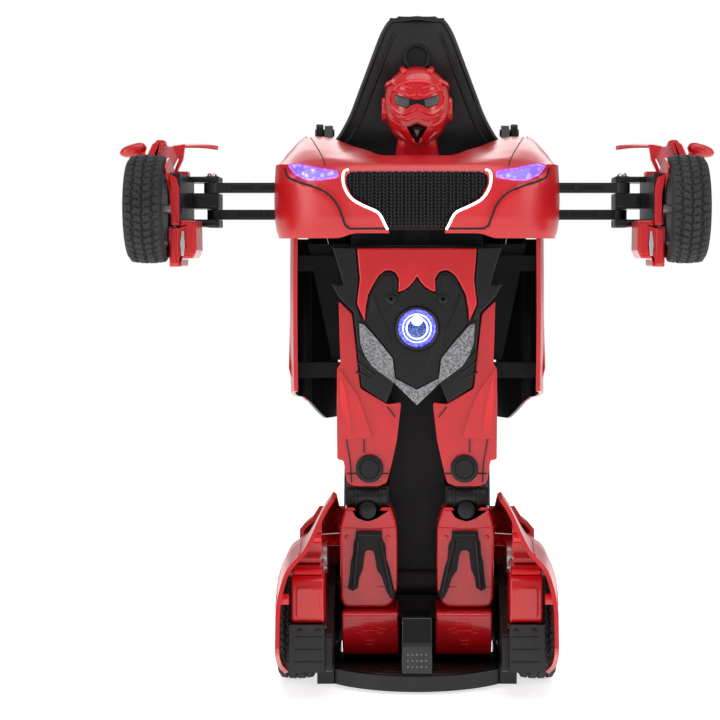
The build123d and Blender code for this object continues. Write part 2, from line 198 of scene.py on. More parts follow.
RED = (0.6, 0.004, 0.009)
PAINT = car_paint("red_pearl_paint", (0.58, 0.004, 0.008))
# the last number of each moulded material is how much its painted edge highlight lightens the edges
PALE = moulded("pale_red_inner_face", (0.72, 0.13, 0.15), 0.32, 0.6, 0.03, 900, 1.1)
GLOSS = moulded("red_gloss_plastic", RED, 0.24, 0.5, 0.03, 900, 1.3)
BLACK = moulded("black_satin_plastic", (0.006, 0.006, 0.007), 0.36, 0.1, 0.16, 1500, 2.2)
MATTE = moulded("black_matte_plastic", (0.007, 0.007, 0.008), 0.5, 0.0, 0.3, 2200, 1.8)
SHINE = moulded("black_gloss_plastic", (0.004, 0.004, 0.005), 0.12, 0.5, 0.02, 700, 2.4)
for black in (BLACK, MATTE, SHINE):
    black.node_tree.nodes["Principled BSDF"].inputs["Specular IOR Level"].default_value = 0.3
GREY = speckled("grey_speckled_trim")
TYRE = rubber("tyre_rubber")
SILVER = brushed("silver_rim", (0.55, 0.56, 0.58), 0.3)
STEEL = brushed("bright_steel", (0.68, 0.68, 0.7), 0.22)
VISOR = moulded("smoked_visor", (0.09, 0.095, 0.1), 0.14, 1.0, 0.02, 700, 1.5)
BOARD = moulded("circuit_green", (0.01, 0.13, 0.05), 0.35, 0.6, 0.1, 900, 1.2)
CELL = moulded("battery_wrap", (0.05, 0.09, 0.3), 0.3, 0.5, 0.05, 900, 1.2)
WHITE_LINE = lit("white_light_line", [(0.0, (1.0, 0.97, 0.93)), (0.8, (1.0, 0.9, 0.86))], 900, 2.2)
HEAD_GLOW = lit("headlamp_glow", [(0.0, (0.78, 0.82, 1.0)), (0.5, (0.13, 0.08, 0.9)),
                                  (0.2, (0.3, 0.25, 1.0))], 330, 1.35)
LENS_RIM = lit("headlamp_edge", [(0.0, (0.45, 0.2, 1.0)), (0.8, (0.3, 0.06, 0.85))], 500, 1.15)
CORE_BLUE = lit("core_lamp_blue", [(0.0, (0.16, 0.2, 1.0)), (0.6, (0.03, 0.02, 0.6))], 900, 1.5)
CORE_DEEP = lit("core_lamp_deep_blue", [(0.0, (0.1, 0.25, 0.7)), (0.6, (0.004, 0.01, 0.12))], 1100, 0.8)
CORE_WHITE = lit("core_lamp_white", [(0.0, (0.8, 0.9, 1.0)), (0.7, (0.6, 0.75, 1.0))], 500, 1.9)
TAIL = lit("tail_lamp_red", [(0.0, (0.5, 0.01, 0.01)), (0.7, (0.16, 0.0, 0.0))], 260, 0.4)


# mesh helpers --------------------------------------------------------------------------------------------
def add_object(name, data):
    thing = bpy.data.objects.new(name, data)
    bpy.context.scene.collection.objects.link(thing)
    return thing


def piece(name, bm, body, material, angle=35, bevel=0.0, segments=3, thickness=0.0, lining=None):
    """Turns a bmesh drawn in millimetres into a finished piece that rides on a body."""
    bmesh.ops.recalc_face_normals(bm, faces=bm.faces)
    bmesh.ops.scale(bm, vec=(MM, MM, MM), verts=bm.verts)
    mesh = bpy.data.meshes.new(name)
    bm.to_mesh(mesh)
    bm.free()
    mesh.shade_smooth()
    mesh.set_sharp_from_angle(angle=math.radians(angle))
    thing = add_object(name, mesh)
    mesh.materials.append(material)
    if thickness:
        wall = thicken(thing, thickness)
        if lining:
            mesh.materials.append(lining)
            wall.material_offset = 1
    if bevel:
        soften(thing, bevel, segments)
    if body:
        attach(thing, body)
    return thing


def thicken(thing, thickness):
    """Gives a surface a wall behind it."""
    wall = thing.modifiers.new("wall", "SOLIDIFY")
    wall.thickness = thickness * MM
    wall.offset = -1
    return wall


def soften(thing, width, segments=3, angle=32):
    """Rounded edges that catch the light."""
    edge = thing.modifiers.new("edges", "BEVEL")
    edge.width = width * MM
    edge.segments = segments
    edge.limit_method = "ANGLE"
    edge.angle_limit = math.radians(angle)
    normals = thing.modifiers.new("normals", "WEIGHTED_NORMAL")
    normals.keep_sharp = True


def bake(thing, *cutters, operation="DIFFERENCE", own_hits=False):
    """Applies a thing's modifiers, after cutting it with the cutters, which are then removed."""
    for cutter in cutters:
        cut = thing.modifiers.new("cut", "BOOLEAN")
        cut.object, cut.operation, cut.solver, cut.use_self = cutter, operation, "EXACT", own_hits
    bpy.context.view_layer.update()
    baked = bpy.data.meshes.new_from_object(thing.evaluated_get(bpy.context.evaluated_depsgraph_get()))
    thing.modifiers.clear()
    thing.data = baked
    baked.shade_smooth()
    baked.set_sharp_from_angle(angle=math.radians(35))
    for cutter in cutters:
        bpy.data.objects.remove(cutter)
    return thing


def rounded(points, radius, steps=4):
    """An outline with each corner turned into a short curve."""
    out = []
    count = len(points)
    for i, here in enumerate(points):
        here = np.array(here, float)
        before = np.array(points[i - 1], float) - here
        after = np.array(points[(i + 1) % count], float) - here
        reach = min(radius, np.linalg.norm(before) * 0.45, np.linalg.norm(after) * 0.45)
        a = here + before / np.linalg.norm(before) * reach
        b = here + after / np.linalg.norm(after) * reach
        for k in range(steps + 1):
            t = k / steps
            out.append(tuple((1 - t) ** 2 * a + 2 * t * (1 - t) * here + t * t * b))
    return out


def placed(point, height, axis):
    """An outline point put at a height along the outline's axis."""
    u, v = point
    return {"x": (height, u, v), "y": (u, height, v), "z": (u, v, height)}[axis]


def slab(name, points, low, high, body, material, axis="y", corner=0.0, crown=0.0, inset=2.0, bevel=0.6,
         **rest):
    """An outline given thickness from low to high. A crown raises the face at low by a smaller inset face."""
    outline = rounded(points, corner) if corner else points
    bm = bmesh.new()
    back = [bm.verts.new(placed(p, high, axis)) for p in outline]
    base = bm.faces.new(back)
    grown = bmesh.ops.extrude_face_region(bm, geom=[base])["geom"]
    way = Vector(placed((0, 0), low - high, axis))
    bmesh.ops.translate(bm, vec=way, verts=[v for v in grown if isinstance(v, bmesh.types.BMVert)])
    top = [f for f in grown if isinstance(f, bmesh.types.BMFace)]
    bmesh.ops.recalc_face_normals(bm, faces=bm.faces)
    if crown:
        bmesh.ops.inset_region(bm, faces=top, thickness=inset, depth=crown, use_even_offset=True)
    return piece(name, bm, body, material, bevel=bevel, **rest)


def lathe(name, profile, centre, axis, body, material, steps=64, closed=True, **rest):
    """A profile of (radius, along) turned about an axis through the centre."""
    bm = bmesh.new()
    rings = []
    for k in range(steps):
        turn = 2 * math.pi * k / steps
        ring = []
        for radius, along in profile:
            u, v = radius * math.cos(turn), radius * math.sin(turn)
            offset = {"x": (along, u, v), "y": (u, along, v), "z": (u, v, along)}[axis]
            ring.append(bm.verts.new(Vector(centre) + Vector(offset)))
        rings.append(ring)
    count = len(profile)
    spans = range(count if closed else count - 1)
    for a, b in zip(rings, rings[1:] + rings[:1]):
        for i in spans:
            j = (i + 1) % count
            bm.faces.new((a[i], a[j], b[j], b[i]))
    bmesh.ops.remove_doubles(bm, verts=bm.verts, dist=0.002)
    return piece(name, bm, body, material, **rest)


def knob(name, radius, centre, axis, low, high, body, material, dish=0.0, edge=0.6, **rest):
    """A round button or boss, with a rounded rim and an optional dished face at low."""
    profile = [(0, high), (radius, high), (radius, low + edge), (radius - edge * 0.3, low + edge * 0.3),
               (radius - edge, low)]
    if dish:
        profile += [(radius - edge - 1.0, low), (radius - edge - 1.5, low + dish)]
        profile += [(0, low + dish)]
    else:
        profile += [(0, low)]
    return lathe(name, profile, centre, axis, body, material, closed=False, **rest)


def smooth_line(points, steps=6):
    """A smooth line through the points."""
    pts = [np.array(p, float) for p in points]
    pts = [2 * pts[0] - pts[1]] + pts + [2 * pts[-1] - pts[-2]]
    out = []
    for p0, p1, p2, p3 in zip(pts, pts[1:], pts[2:], pts[3:]):
        for k in range(steps):
            t = k / steps
            out.append(0.5 * (2 * p1 + (p2 - p0) * t + (2 * p0 - 5 * p1 + 4 * p2 - p3) * t * t
                              + (3 * p1 - p0 - 3 * p2 + p3) * t ** 3))
    return out + [pts[-2]]


def tube(name, lines, radius, body, material, resolution=2, cyclic=False, **rest):
    """Round cord along each of the lines."""
    curve = bpy.data.curves.new(name, "CURVE")
    curve.dimensions = "3D"
    curve.bevel_depth = radius * MM
    curve.bevel_resolution = resolution
    curve.use_fill_caps = True
    for line in lines:
        spline = curve.splines.new("POLY")
        spline.points.add(len(line) - 1)
        for point, at in zip(spline.points, line):
            point.co = (*[c * MM for c in at], 1)
        spline.use_cyclic_u = cyclic
    holder = add_object(name + "_line", curve)
    bpy.context.view_layer.update()
    mesh = bpy.data.meshes.new_from_object(holder.evaluated_get(bpy.context.evaluated_depsgraph_get()))
    bm = bmesh.new()
    bm.from_mesh(mesh)
    bmesh.ops.scale(bm, vec=(1 / MM,) * 3, verts=bm.verts)
    bpy.data.objects.remove(holder)
    bpy.data.meshes.remove(mesh)
    return piece(name, bm, body, material, **rest)


def joined_rows(rows):
    """A bmesh with a face between each four neighbours in rows of points of the same length."""
    bm = bmesh.new()
    grid = [[bm.verts.new(p) for p in row] for row in rows]
    for a, b in zip(grid, grid[1:]):
        for i in range(len(a) - 1):
            bm.faces.new((a[i], a[i + 1], b[i + 1], b[i]))
    return bm


def sheet(name, rows, body, material, **rest):
    """A surface through rows of points."""
    bm = joined_rows(rows)
    return piece(name, bm, body, material, **rest)


def mirrored(points):
    """A right-hand outline from the middle line round to the middle line, with its left-hand copy."""
    return list(points) + [(-x, y) for x, y in reversed(points) if x > 1e-6]


def flipped(points, side):
    """The outline as it is for the left side, or mirrored for the right."""
    return [(side * x, y) for x, y in points]


def level(points, at):
    """The second number of the points at a value of the first, with straight lines between points."""
    return float(np.interp(at, [p[0] for p in points], [p[1] for p in points]))


def between(value, low, high):
    """Eases from 0 at low to 1 at high."""
    t = min(1.0, max(0.0, (value - low) / (high - low)))
    return t * t * (3 - 2 * t)


def keep(names, material, width=0.5, segments=2):
    """CAD nodes that are shown as they are, with soft edges and a full material."""
    for name in names:
        node = NODES[name]
        node.data.materials.clear()
        node.data.materials.append(material)
        node.data.shade_smooth()
        node.data.set_sharp_from_angle(angle=math.radians(32))
        if width:
            soften(node, width, segments)


# chest: the car's nose ------------------------------------------------------------------------------------
NOSE_LOW, NOSE_HIGH = [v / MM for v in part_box("nose_shell")]
NOSE_HALF = NOSE_HIGH.x
NOSE_FRONT, NOSE_END = NOSE_LOW.y, NOSE_HIGH.y
CORNER_Y = -24
ARCH_R, WHEEL_Z = 29.3, 235
GROOVE = [(64.5, 255.5), (63, 251.2), (58, 248.6), (51.7, 246.6), (45, 243.8), (41, 240.6), (38.1, 236.7),
          (36.2, 232), (34.6, 227.6), (33, 226.2)]
LAMP = [(63.4, 257.2), (58.4, 258), (47.8, 255.4), (37.9, 253.8), (38.1, 250.2), (46.8, 249), (53.6, 249.2),
        (59.7, 252)]
CUTOUT = [(0, -38), (9, -38), (17, -37.6), (21, -33), (26, -21), (31, -8), (35.5, 5), (44, 7.6), (54.4, 8)]


def groove_x(z):
    """How far out the groove beside the grille lies at a height."""
    return level([(height, x) for x, height in GROOVE[::-1]], z)


def nose_plan(s):
    """A point on the nose's outline seen from above, s from -1 to 1, with s 0 at the front middle."""
    a = abs(s)
    power = 2 / 2.7
    bend = 0.72
    if a < bend:
        turn = a / bend * math.pi / 2
        x = NOSE_HALF * math.sin(turn) ** power
        y = CORNER_Y - (CORNER_Y - NOSE_FRONT) * math.cos(turn) ** power
    else:
        x, y = NOSE_HALF, CORNER_Y + (NOSE_END - CORNER_Y) * (a - bend) / (1 - bend)
    return math.copysign(x, s) if s else 0.0, y


def hood_edge(s):
    """The point on the edge of the bonnet's cut-out, or of the rear edge, that belongs to s."""
    a = abs(s)
    stops = np.array(CUTOUT + [(57.6, 9.5), (57.8, 27)], float)
    lengths = np.r_[0, np.cumsum(np.linalg.norm(np.diff(stops, axis=0), axis=1))]
    at = (min(a, 0.93) / 0.93) ** 1.15 * lengths[-1]
    return math.copysign(np.interp(at, lengths, stops[:, 0]), s), np.interp(at, lengths, stops[:, 1])


def hood_height(x, y):
    """The bonnet's height: it climbs to the rear, swells over the wheels and dips beside the cut-out."""
    climb = np.interp(y, [-60, -52, -44, -30, -10, 10, 27], [252, 257, 260.2, 264.2, 268.8, 272, 274.2])
    swell = 2.6 * math.exp(-((abs(x) - 50) / 11) ** 2) * between(y, -50, -5)
    dip = 1.4 * math.exp(-((abs(x) - 33) / 7) ** 2) * between(y, -48, -10)
    edge = 9.5 * between(abs(x), 56, 71.5) ** 1.4
    return climb + swell - dip - edge * between(y, -58, -30)


def nose_point(s, t):
    """A point of the nose skin: t 0 at the bottom lip, 1 at the shoulder, 2 at the edge of the bonnet."""
    px, py = nose_plan(s)
    outward = Vector((px / NOSE_HALF ** 2, (py - CORNER_Y) / 36 ** 2 if py < CORNER_Y else 0,
                      0)).normalized()
    corner = between(abs(px), 20, 60)
    shoulder = 251 + 6.5 * between(abs(px), 30, 68)
    if t <= 1:
        bottom = 223.6 - 2.4 * between(abs(px), 30, 40)
        z = bottom + (shoulder - bottom) * t
        tuck = np.interp(z, [221, 225, 231, 240, 249, 258], [4.6, 2.2, 0.5, 0.0, 0.5,
                                                             1.6]) * (1 - 0.45 * corner)
        if py < 10:
            inner = between(groove_x(z) - abs(px), -1.2, 1.6) * between(254 - z, -2, 5)
            tuck += 1.5 * inner
        return Vector((px, py, z)) - outward * tuck
    hx, hy = hood_edge(s)
    u = t - 1
    ease = u ** 0.92
    x, y = px + (hx - px) * ease, py + (hy - py) * ease
    top = hood_height(x, y)
    start = nose_point(s, 1.0)
    blend = between(u, 0, 0.34)
    x = x * blend + (start.x + (x - start.x) * u) * (1 - blend)
    z = start.z + (top - start.z) * math.sin(min(1, u / 0.34) * math.pi / 2) if u < 0.34 else top
    return Vector((x, y if u > 0 else start.y, z))


def nose_skin(name, material, inset=0.0):
    """The nose's surface, moved in by the inset."""
    ss = [i / 66 for i in range(-66, 67)]
    ts = [i / 22 for i in range(22)] + [1 + (i / 24) for i in range(25)]
    rows = [[nose_point(s, t) for s in ss] for t in ts]
    bm = joined_rows(rows)
    bmesh.ops.remove_doubles(bm, verts=bm.verts, dist=0.01)
    bmesh.ops.recalc_face_normals(bm, faces=bm.faces)
    if bm.faces[0].normal.y > 0:
        bmesh.ops.reverse_faces(bm, faces=bm.faces)
    bm.normal_update()
    if inset:
        for v in bm.verts:
            v.co -= v.normal * inset
    bmesh.ops.scale(bm, vec=(MM, MM, MM), verts=bm.verts)
    mesh = bpy.data.meshes.new(name)
    bm.to_mesh(mesh)
    bm.free()
    mesh.shade_smooth()
    thing = add_object(name, mesh)
    mesh.materials.append(material)
    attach(thing, "chest")
    return thing


def cutter(points, low, high, axis="y", corner=0.0):
    """A block that bake cuts with."""
    return slab("cutter", points, low, high, None, BLACK, axis=axis, corner=corner, bevel=0)


def drill(radius, low, high, centre, axis):
    """A round block that bake cuts with."""
    profile = [(0, low), (radius, low), (radius, high), (0, high)]
    return lathe("cutter", profile, centre, axis, None, BLACK, closed=False)


def span(side, near, far):
    """Two distances from the middle, put on a side and in order."""
    return sorted((side * near, side * far))


def surface_tree(thing):
    mesh = thing.data
    return BVHTree.FromPolygons([v.co / MM for v in mesh.vertices], [p.vertices[:] for p in mesh.polygons])


def laid(tree, points, lift, from_above=False):
    """Points dropped onto a surface, from the front or from above, and lifted off it."""
    out = []
    for u, v in points:
        start = Vector((u, v, 320)) if from_above else Vector((u, -120, v))
        way = Vector((0, 0, -1)) if from_above else Vector((0, 1, 0))
        hit = tree.ray_cast(start, way)[0]
        if hit is not None:
            out.append(hit - way * lift)
    return out


def make_nose():
    skin = nose_skin("nose_shell_skin", PAINT)
    tree = surface_tree(skin)
    thicken(skin, 2.0)
    trim_inner = [(0, 253.2), (31, 253.2), (34.2, 251.6), (34.4, 247.8), (31.2, 240.6), (17.4, 233.2),
                  (13.6, 225.6), (13.2, 221), (0, 221)]
    cuts = [cutter(mirrored(trim_inner), -90, -40, corner=2.0)]
    for side in (1, -1):
        cuts.append(cutter(flipped(LAMP, side), -90, -20, corner=1.2))
        arch = [(ARCH_R * math.cos(a), WHEEL_Z + ARCH_R * math.sin(a)) for a in np.linspace(0, math.pi, 40)]
        arch += [(-ARCH_R, 200), (ARCH_R, 200)]
        cuts.append(cutter(arch, *span(side, 49, 90), axis="x"))
    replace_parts(bake(skin, *cuts, own_hits=True), "nose_shell")
    soften(skin, 0.35, 2, 40)

    # dark grooves, shut lines and the pale line round the grille
    for label, side in BOTH:
        groove = smooth_line(flipped(GROOVE, side), 8)
        tube(f"{label}_bumper_groove", [laid(tree, groove, 0.05)], 0.55, "chest", MATTE)
        shut = [(44.5, -50), (47, -38), (50.5, -22), (53.4, -6), (54.6, 6.5)]
        tube(f"{label}_bonnet_shut_line", [laid(tree, smooth_line(flipped(shut, side), 8), 0.0, True)],
             0.28, "chest", MATTE)
        line = [(33.2, 254.3), (35.4, 252.8), (35.6, 248), (34, 243.6), (31.2, 240), (26.6, 237.2),
                (19.6, 234), (17.2, 231.4), (15.6, 228), (14.2, 225.4)]
        line = smooth_line(flipped(line, side), 6)
        lit_line = tube(f"{label}_grille_light_line", [laid(tree, line, 0.25)], 0.62, "chest", WHITE_LINE)
        if side > 0:
            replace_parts(lit_line, "grille_trim")
    low_lip = smooth_line([(x, 225.8) for x in (-33, -26, -20, -14)], 6)
    for label, side in BOTH:
        tube(f"{label}_lower_lip_groove", [laid(tree, [(-side * x, z) for x, z in low_lip], 0.02)], 0.5,
             "chest", MATTE)

    # headlamps: a lit chamber with a violet edge round it
    inner = [(61.9, 256.4), (57.9, 257), (47.9, 254.4), (38.8, 252.9), (39, 251.0), (46.8, 249.9),
             (53.2, 250.1), (58.8, 252.6)]
    outer = [(x + (0.12 if x > 45 else -0.12), z) for x, z in LAMP]
    for label, side in BOTH:
        chamber = lamp_part(f"{label}_headlamp_lens", HEAD_GLOW, 0.7, 1.2, flipped(inner, side), 1.0)
        edge = lamp_part(f"{label}_headlamp_edge", LENS_RIM, 0.35, 1.3, flipped(outer, side), 1.2)
        bake(edge, cutter(flipped(inner, side), -90, -20, corner=1.0), own_hits=True)
        if side > 0:
            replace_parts(chamber, "headlights")


def lamp_part(name, material, inset, thickness, outline, corner):
    """The part of the nose's skin inside an outline, sunk by the inset."""
    part = nose_skin(name, material, inset)
    thicken(part, thickness)
    return bake(part, cutter(outline, -90, -20, corner=corner), operation="INTERSECT", own_hits=True)


def make_grille():
    """A black backing with close vertical zigzag bars that end on the funnel outline."""
    top = 253.4
    lows = [(-34.5, 247.4), (-31.4, 240.6), (-17.6, 233.2), (-13.8, 225.4), (13.8, 225.4), (17.6, 233.2),
                        (31.4, 240.6), (34.5, 247.4)]
    back = slab("grille_backing", mirrored([(0, 253.6), (34.4, 253.6), (34.6, 248), (31, 240.4),
                                            (17, 232.9), (13.2, 225.2), (0, 225.2)]), -53.5, -51.8, "chest",
                MATTE, bevel=0.2)
    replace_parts(back, "grille")
    bars = []
    pitch, rise = 1.75, 0.8
    columns = int(68 / pitch)
    for k in range(columns + 1):
        x = -34 + k * 68 / columns
        low = level(lows, x) + 0.4
        bow = -56.6 + 2.4 * (x / 34) ** 2
        count = max(2, int((top - low) / rise))
        line = []
        for j in range(count + 1):
            z = top - (top - low) * j / count
            sideways = 0.34 if (j + k) % 2 else -0.34
            deep = 0.3 if j % 2 else -0.3
            line.append((x + sideways, bow + deep + 0.035 * (240 - z), z))
        bars.append(line)
    tube("grille_mesh", bars, 0.42, "chest", SHINE, resolution=1)


make_nose()
make_grille()


# head -----------------------------------------------------------------------------------------------------
def ring_form(levels, power=2.4, steps=48):
    """Rows of points round a form: each level is (z, half width, front y, back y, middle y)."""
    rows = []
    for z, half, front, back, middle in levels:
        row = []
        for k in range(steps + 1):
            turn = 2 * math.pi * k / steps
            c, s = math.cos(turn), math.sin(turn)
            x = half * math.copysign(abs(s) ** (2 / power), s)
            reach = (middle - front) if c > 0 else (back - middle)
            row.append((x, middle - math.copysign(abs(c) ** (2 / power), c) * reach, z))
        rows.append(row)
    return rows


def smooth_levels(levels, steps=5):
    return [tuple(p) for p in smooth_line(levels, steps)]


def closed_form(name, rows, body, material, **rest):
    """A closed form lofted through rings, with its ends filled."""
    bm = bmesh.new()
    rings = [[bm.verts.new(p) for p in row[:-1]] for row in rows]
    for a, b in zip(rings, rings[1:]):
        for i in range(len(a)):
            j = (i + 1) % len(a)
            bm.faces.new((a[i], a[j], b[j], b[i]))
    bm.faces.new(rings[0])
    bm.faces.new(rings[-1][::-1])
    return piece(name, bm, body, material, **rest)


def make_head():
    levels = [(268.6, 5.0, -15.5, 2, -5), (271, 8.6, -17.6, 5.5, -5), (275.5, 12.8, -19.2, 9, -4),
              (281, 15.3, -20.2, 12, -3), (287, 16.4, -20.6, 14, -2), (293.5, 16.6, -20.4, 14.5, -2),
              (299, 15.2, -19.2, 13.6, -2), (303.5, 12.4, -16.4, 11.4, -2), (306.8, 8.4, -12.2, 8.4, -2),
              (308.6, 3.4, -7, 4.2, -2)]
    shell = closed_form("helmet_shell", ring_form(smooth_levels(levels), 2.3), "torso", GLOSS)
    eyes = [(0, 290.6), (4.2, 291.6), (10.8, 293.6), (11.6, 292.6), (10.6, 288.6), (5.2, 286.2),
            (3.4, 287.6), (0, 288.8)]
    mouth = [(0, 279.6), (5.4, 277.4), (2.4, 271.6), (0, 268.2)]
    bake(shell, cutter(rounded(mirrored(eyes), 0.5), -26, -16.4), cutter(mirrored(mouth), -26, -15.2))
    soften(shell, 0.35, 2, 40)
    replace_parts(shell, "helmet")
    tree = surface_tree(shell)

    lens = [(3.9, 291.0), (10.7, 293.0), (11.1, 292.4), (10.2, 288.9), (5.3, 286.7), (4.2, 287.6)]
    for label, side in BOTH:
        slab(f"{label}_visor_lens", flipped(lens, side), -17.9, -16.5, "torso", VISOR, corner=0.4,
             bevel=0.25)
    bridge = slab("visor_bridge", mirrored([(0, 290.4), (3.9, 291.2), (4.1, 287.6), (0, 288.9)]), -18.1,
                  -16.45, "torso", SHINE, bevel=0.2)
    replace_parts(bridge, "face_inserts")
    bm = bmesh.new()
    ring = [bm.verts.new(p) for p in [(0, -17.2, 279.2), (5.0, -15.8, 277.2), (2.0, -15.4, 271.8),
                                      (0, -15.4, 268.6), (-2.0, -15.4, 271.8), (-5.0, -15.8, 277.2)]]
    tip = bm.verts.new((0, -21.6, 275.6))
    low = bm.verts.new((0, -14.9, 274))
    for a, b in zip(ring, ring[1:] + ring[:1]):
        bm.faces.new((a, b, tip))
        bm.faces.new((b, a, low))
    piece("mouthpiece", bm, "torso", SHINE, angle=20, bevel=0.3, segments=2)

    # raised brow, cheek and crown ridges that follow the helmet
    for label, side in BOTH:
        ridges = [[(0.6, 293.6), (3.4, 292.9), (7.4, 294.6), (11.6, 296.0), (13.6, 293.4), (13.4, 289.4)],
                  [(13.2, 288.2), (10.6, 285.6), (6.8, 283.6), (3.2, 284.8), (1.0, 286.6)],
                  [(1.6, 282.4), (5.6, 280.6), (9.4, 282.4), (13.2, 284.6)],
                  [(5.6, 278.0), (3.4, 273.6), (1.4, 269.8)],
                  [(6.4, 277.6), (10.2, 279.0), (12.8, 281.6)],
                  [(2.2, 296.6), (7.4, 298.0), (12.2, 299.8)]]
        for k, (line, width) in enumerate(zip(ridges, (1.0, 0.95, 0.8, 0.7, 0.7, 0.9))):
            path = laid(tree, smooth_line(flipped(line, side), 5), -0.15)
            if len(path) > 2:
                tube(f"{label}_face_ridge_{k + 1}", [path], width, "torso", GLOSS, resolution=3)
        crest = [(side * 6.4, -13.4, 305.4), (side * 7.4, -9, 306.9), (side * 7.2, -2, 307.6),
                 (side * 6.2, 5, 306.2), (side * 5.4, 9.4, 302.6)]
        tube(f"{label}_crown_ridge", [smooth_line(crest, 5)], 1.5, "torso", GLOSS, resolution=3)
        side_line = [(side * 11.8, -14.6, 300.5), (side * 14.4, -10, 299.6), (side * 15.4, -2, 298.5),
                     (side * 14.2, 6, 296)]
        tube(f"{label}_temple_ridge", [smooth_line(side_line, 5)], 1.2, "torso", GLOSS, resolution=3)
        pad = [(4.6 * math.cos(a) - 1, 287.4 + 6.2 * math.sin(a))
               for a in np.linspace(0, 2 * math.pi, 28, endpoint=False)]
        slab(f"{label}_ear_pad", pad, side * 17.6, side * 15.2, "torso", GLOSS, axis="x",
             crown=0.5, inset=1.2, bevel=0.5)
    visor_peak = [(-11.5, 296.4), (-7, 299.0), (0, 300.0), (7, 299.0), (11.5, 296.4)]
    tube("brow_peak", [laid(tree, smooth_line(visor_peak, 6), -0.1)], 1.15, "torso", GLOSS, resolution=3)
    collar = [(261.9, 11.6, -9.6, 8.6, -1), (264.5, 11.2, -9.4, 8.2, -1), (267, 10.8, -10.4, 8, -1),
              (271, 10.2, -11.4, 8, -1), (274.5, 9.4, -11.6, 7.8, -1)]
    closed_form("neck", ring_form(collar, 3.2), "torso", GLOSS, bevel=0.5)


# torso: back panel ------------------------------------------------------------------------------------------
BACK = [(16, 31.5), (48, 33), (80, 35), (112, 48), (140, 54.5), (165, 56), (190, 53.5), (265, 22),
        (300, 16), (336, 8)]
BACK_HALF = [(16, 39), (165, 39), (190, 41), (258, 55.1), (263, 54.6), (268, 48.6), (273, 42.4),
             (280, 37.9), (287, 34.4), (308, 26.2), (322, 20.7), (329, 17.6), (333, 14.6), (335, 11.4),
             (336, 8.2)]


def back_y(z):
    """The outer back face, with the profile's corners eased."""
    samples = [level(BACK, z + d) for d in (-9, -4, 0, 4, 9)]
    return min(float(np.mean(samples)), 56.0)


def back_sheet(name, near, material, thickness, z0=16.0, z1=335.7, shrink=0.0, bow=1.6):
    rows = []
    count = 84
    for k in range(count + 1):
        z = z0 + (z1 - z0) * k / count
        half = level(BACK_HALF, z) - shrink
        rows.append([(half * t, back_y(z) - near - bow * abs(t) ** 3, z) for t in np.linspace(-1, 1, 29)])
    return sheet(name, rows, "torso", material, thickness=thickness, angle=50)


def make_back():
    outer = back_sheet("windscreen_and_roof", 0.0, SHINE, 1.1)
    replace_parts(outer, "windscreen_panel")
    back_sheet("roof_lining", 1.25, BLACK, 1.1, 17, 335.6, 0.2)
    for label, side in BOTH:
        zs = [333.6, 331, 327, 322, 308, 296, 287, 280, 273, 268, 264]
        edge, inner = [], []
        for z in zs:
            half = level(BACK_HALF, z)
            edge.append((side * (half - 1.3), back_y(z) - 3.6, z))
            inner.append((side * (half - 6.8), back_y(z) - 2.9, z))
        tube(f"{label}_rim_of_back_panel", [smooth_line(edge, 4)], 1.3, "torso", BLACK, resolution=3)
        tube(f"{label}_inner_step_of_back_panel", [smooth_line(inner[2:], 4)], 0.9, "torso", BLACK,
             resolution=3)
        tube(f"{label}_glass_edge_line", [smooth_line([(side * 38.2, back_y(z) - 1.0, z)
                                                       for z in (190, 165, 130, 95, 60)], 6)], 0.45,
             "torso", MATTE)
    top = [(x, back_y(333.8) - 3.6, 333.4 + (1.0 if abs(x) < 8 else 0)) for x in (-14, -8, 0, 8, 14)]
    tube("top_rim_of_back_panel", [smooth_line(top, 5)], 1.2, "torso", BLACK, resolution=3)
    for k, (z, half) in enumerate(((262, 52), (191, 40), (118, 38))):
        line = []
        for x in np.linspace(-half, half, 21):
            height = z + 5 * (1 - (x / half) ** 2)
            line.append((x, back_y(height) + 0.05 - 1.6 * abs(x / half) ** 3, height))
        tube(f"glass_joint_line_{k + 1}", [line], 0.4, "torso", MATTE)
    knob("round_boss", 6.9, (0, back_y(315) - 2.2, 315), "y", -2.6, 0.0, "torso", BLACK, dish=1.0)
    for label, side in BOTH:
        vent = [(8, 291), (15, 286), (22.5, 276), (19, 274.5), (12, 282), (7, 286)]
        slab(f"{label}_bonnet_vent", flipped(vent, side), back_y(282) - 0.5, back_y(282) + 0.9, "torso",
             MATTE, bevel=0.3)
    # the two ears that carry the chest hinge
    for label, side in BOTH:
        ear = [(22, 262.5), (17.2, 264), (17.2, 272), (18.5, 281.5), (27.5, 281.5), (27.5, 272), (22, 266)]
        slab(f"{label}_hinge_ear", ear, *span(side, 49, 52.5), "torso", BLACK, axis="x", corner=2.5,
             bevel=0.4)


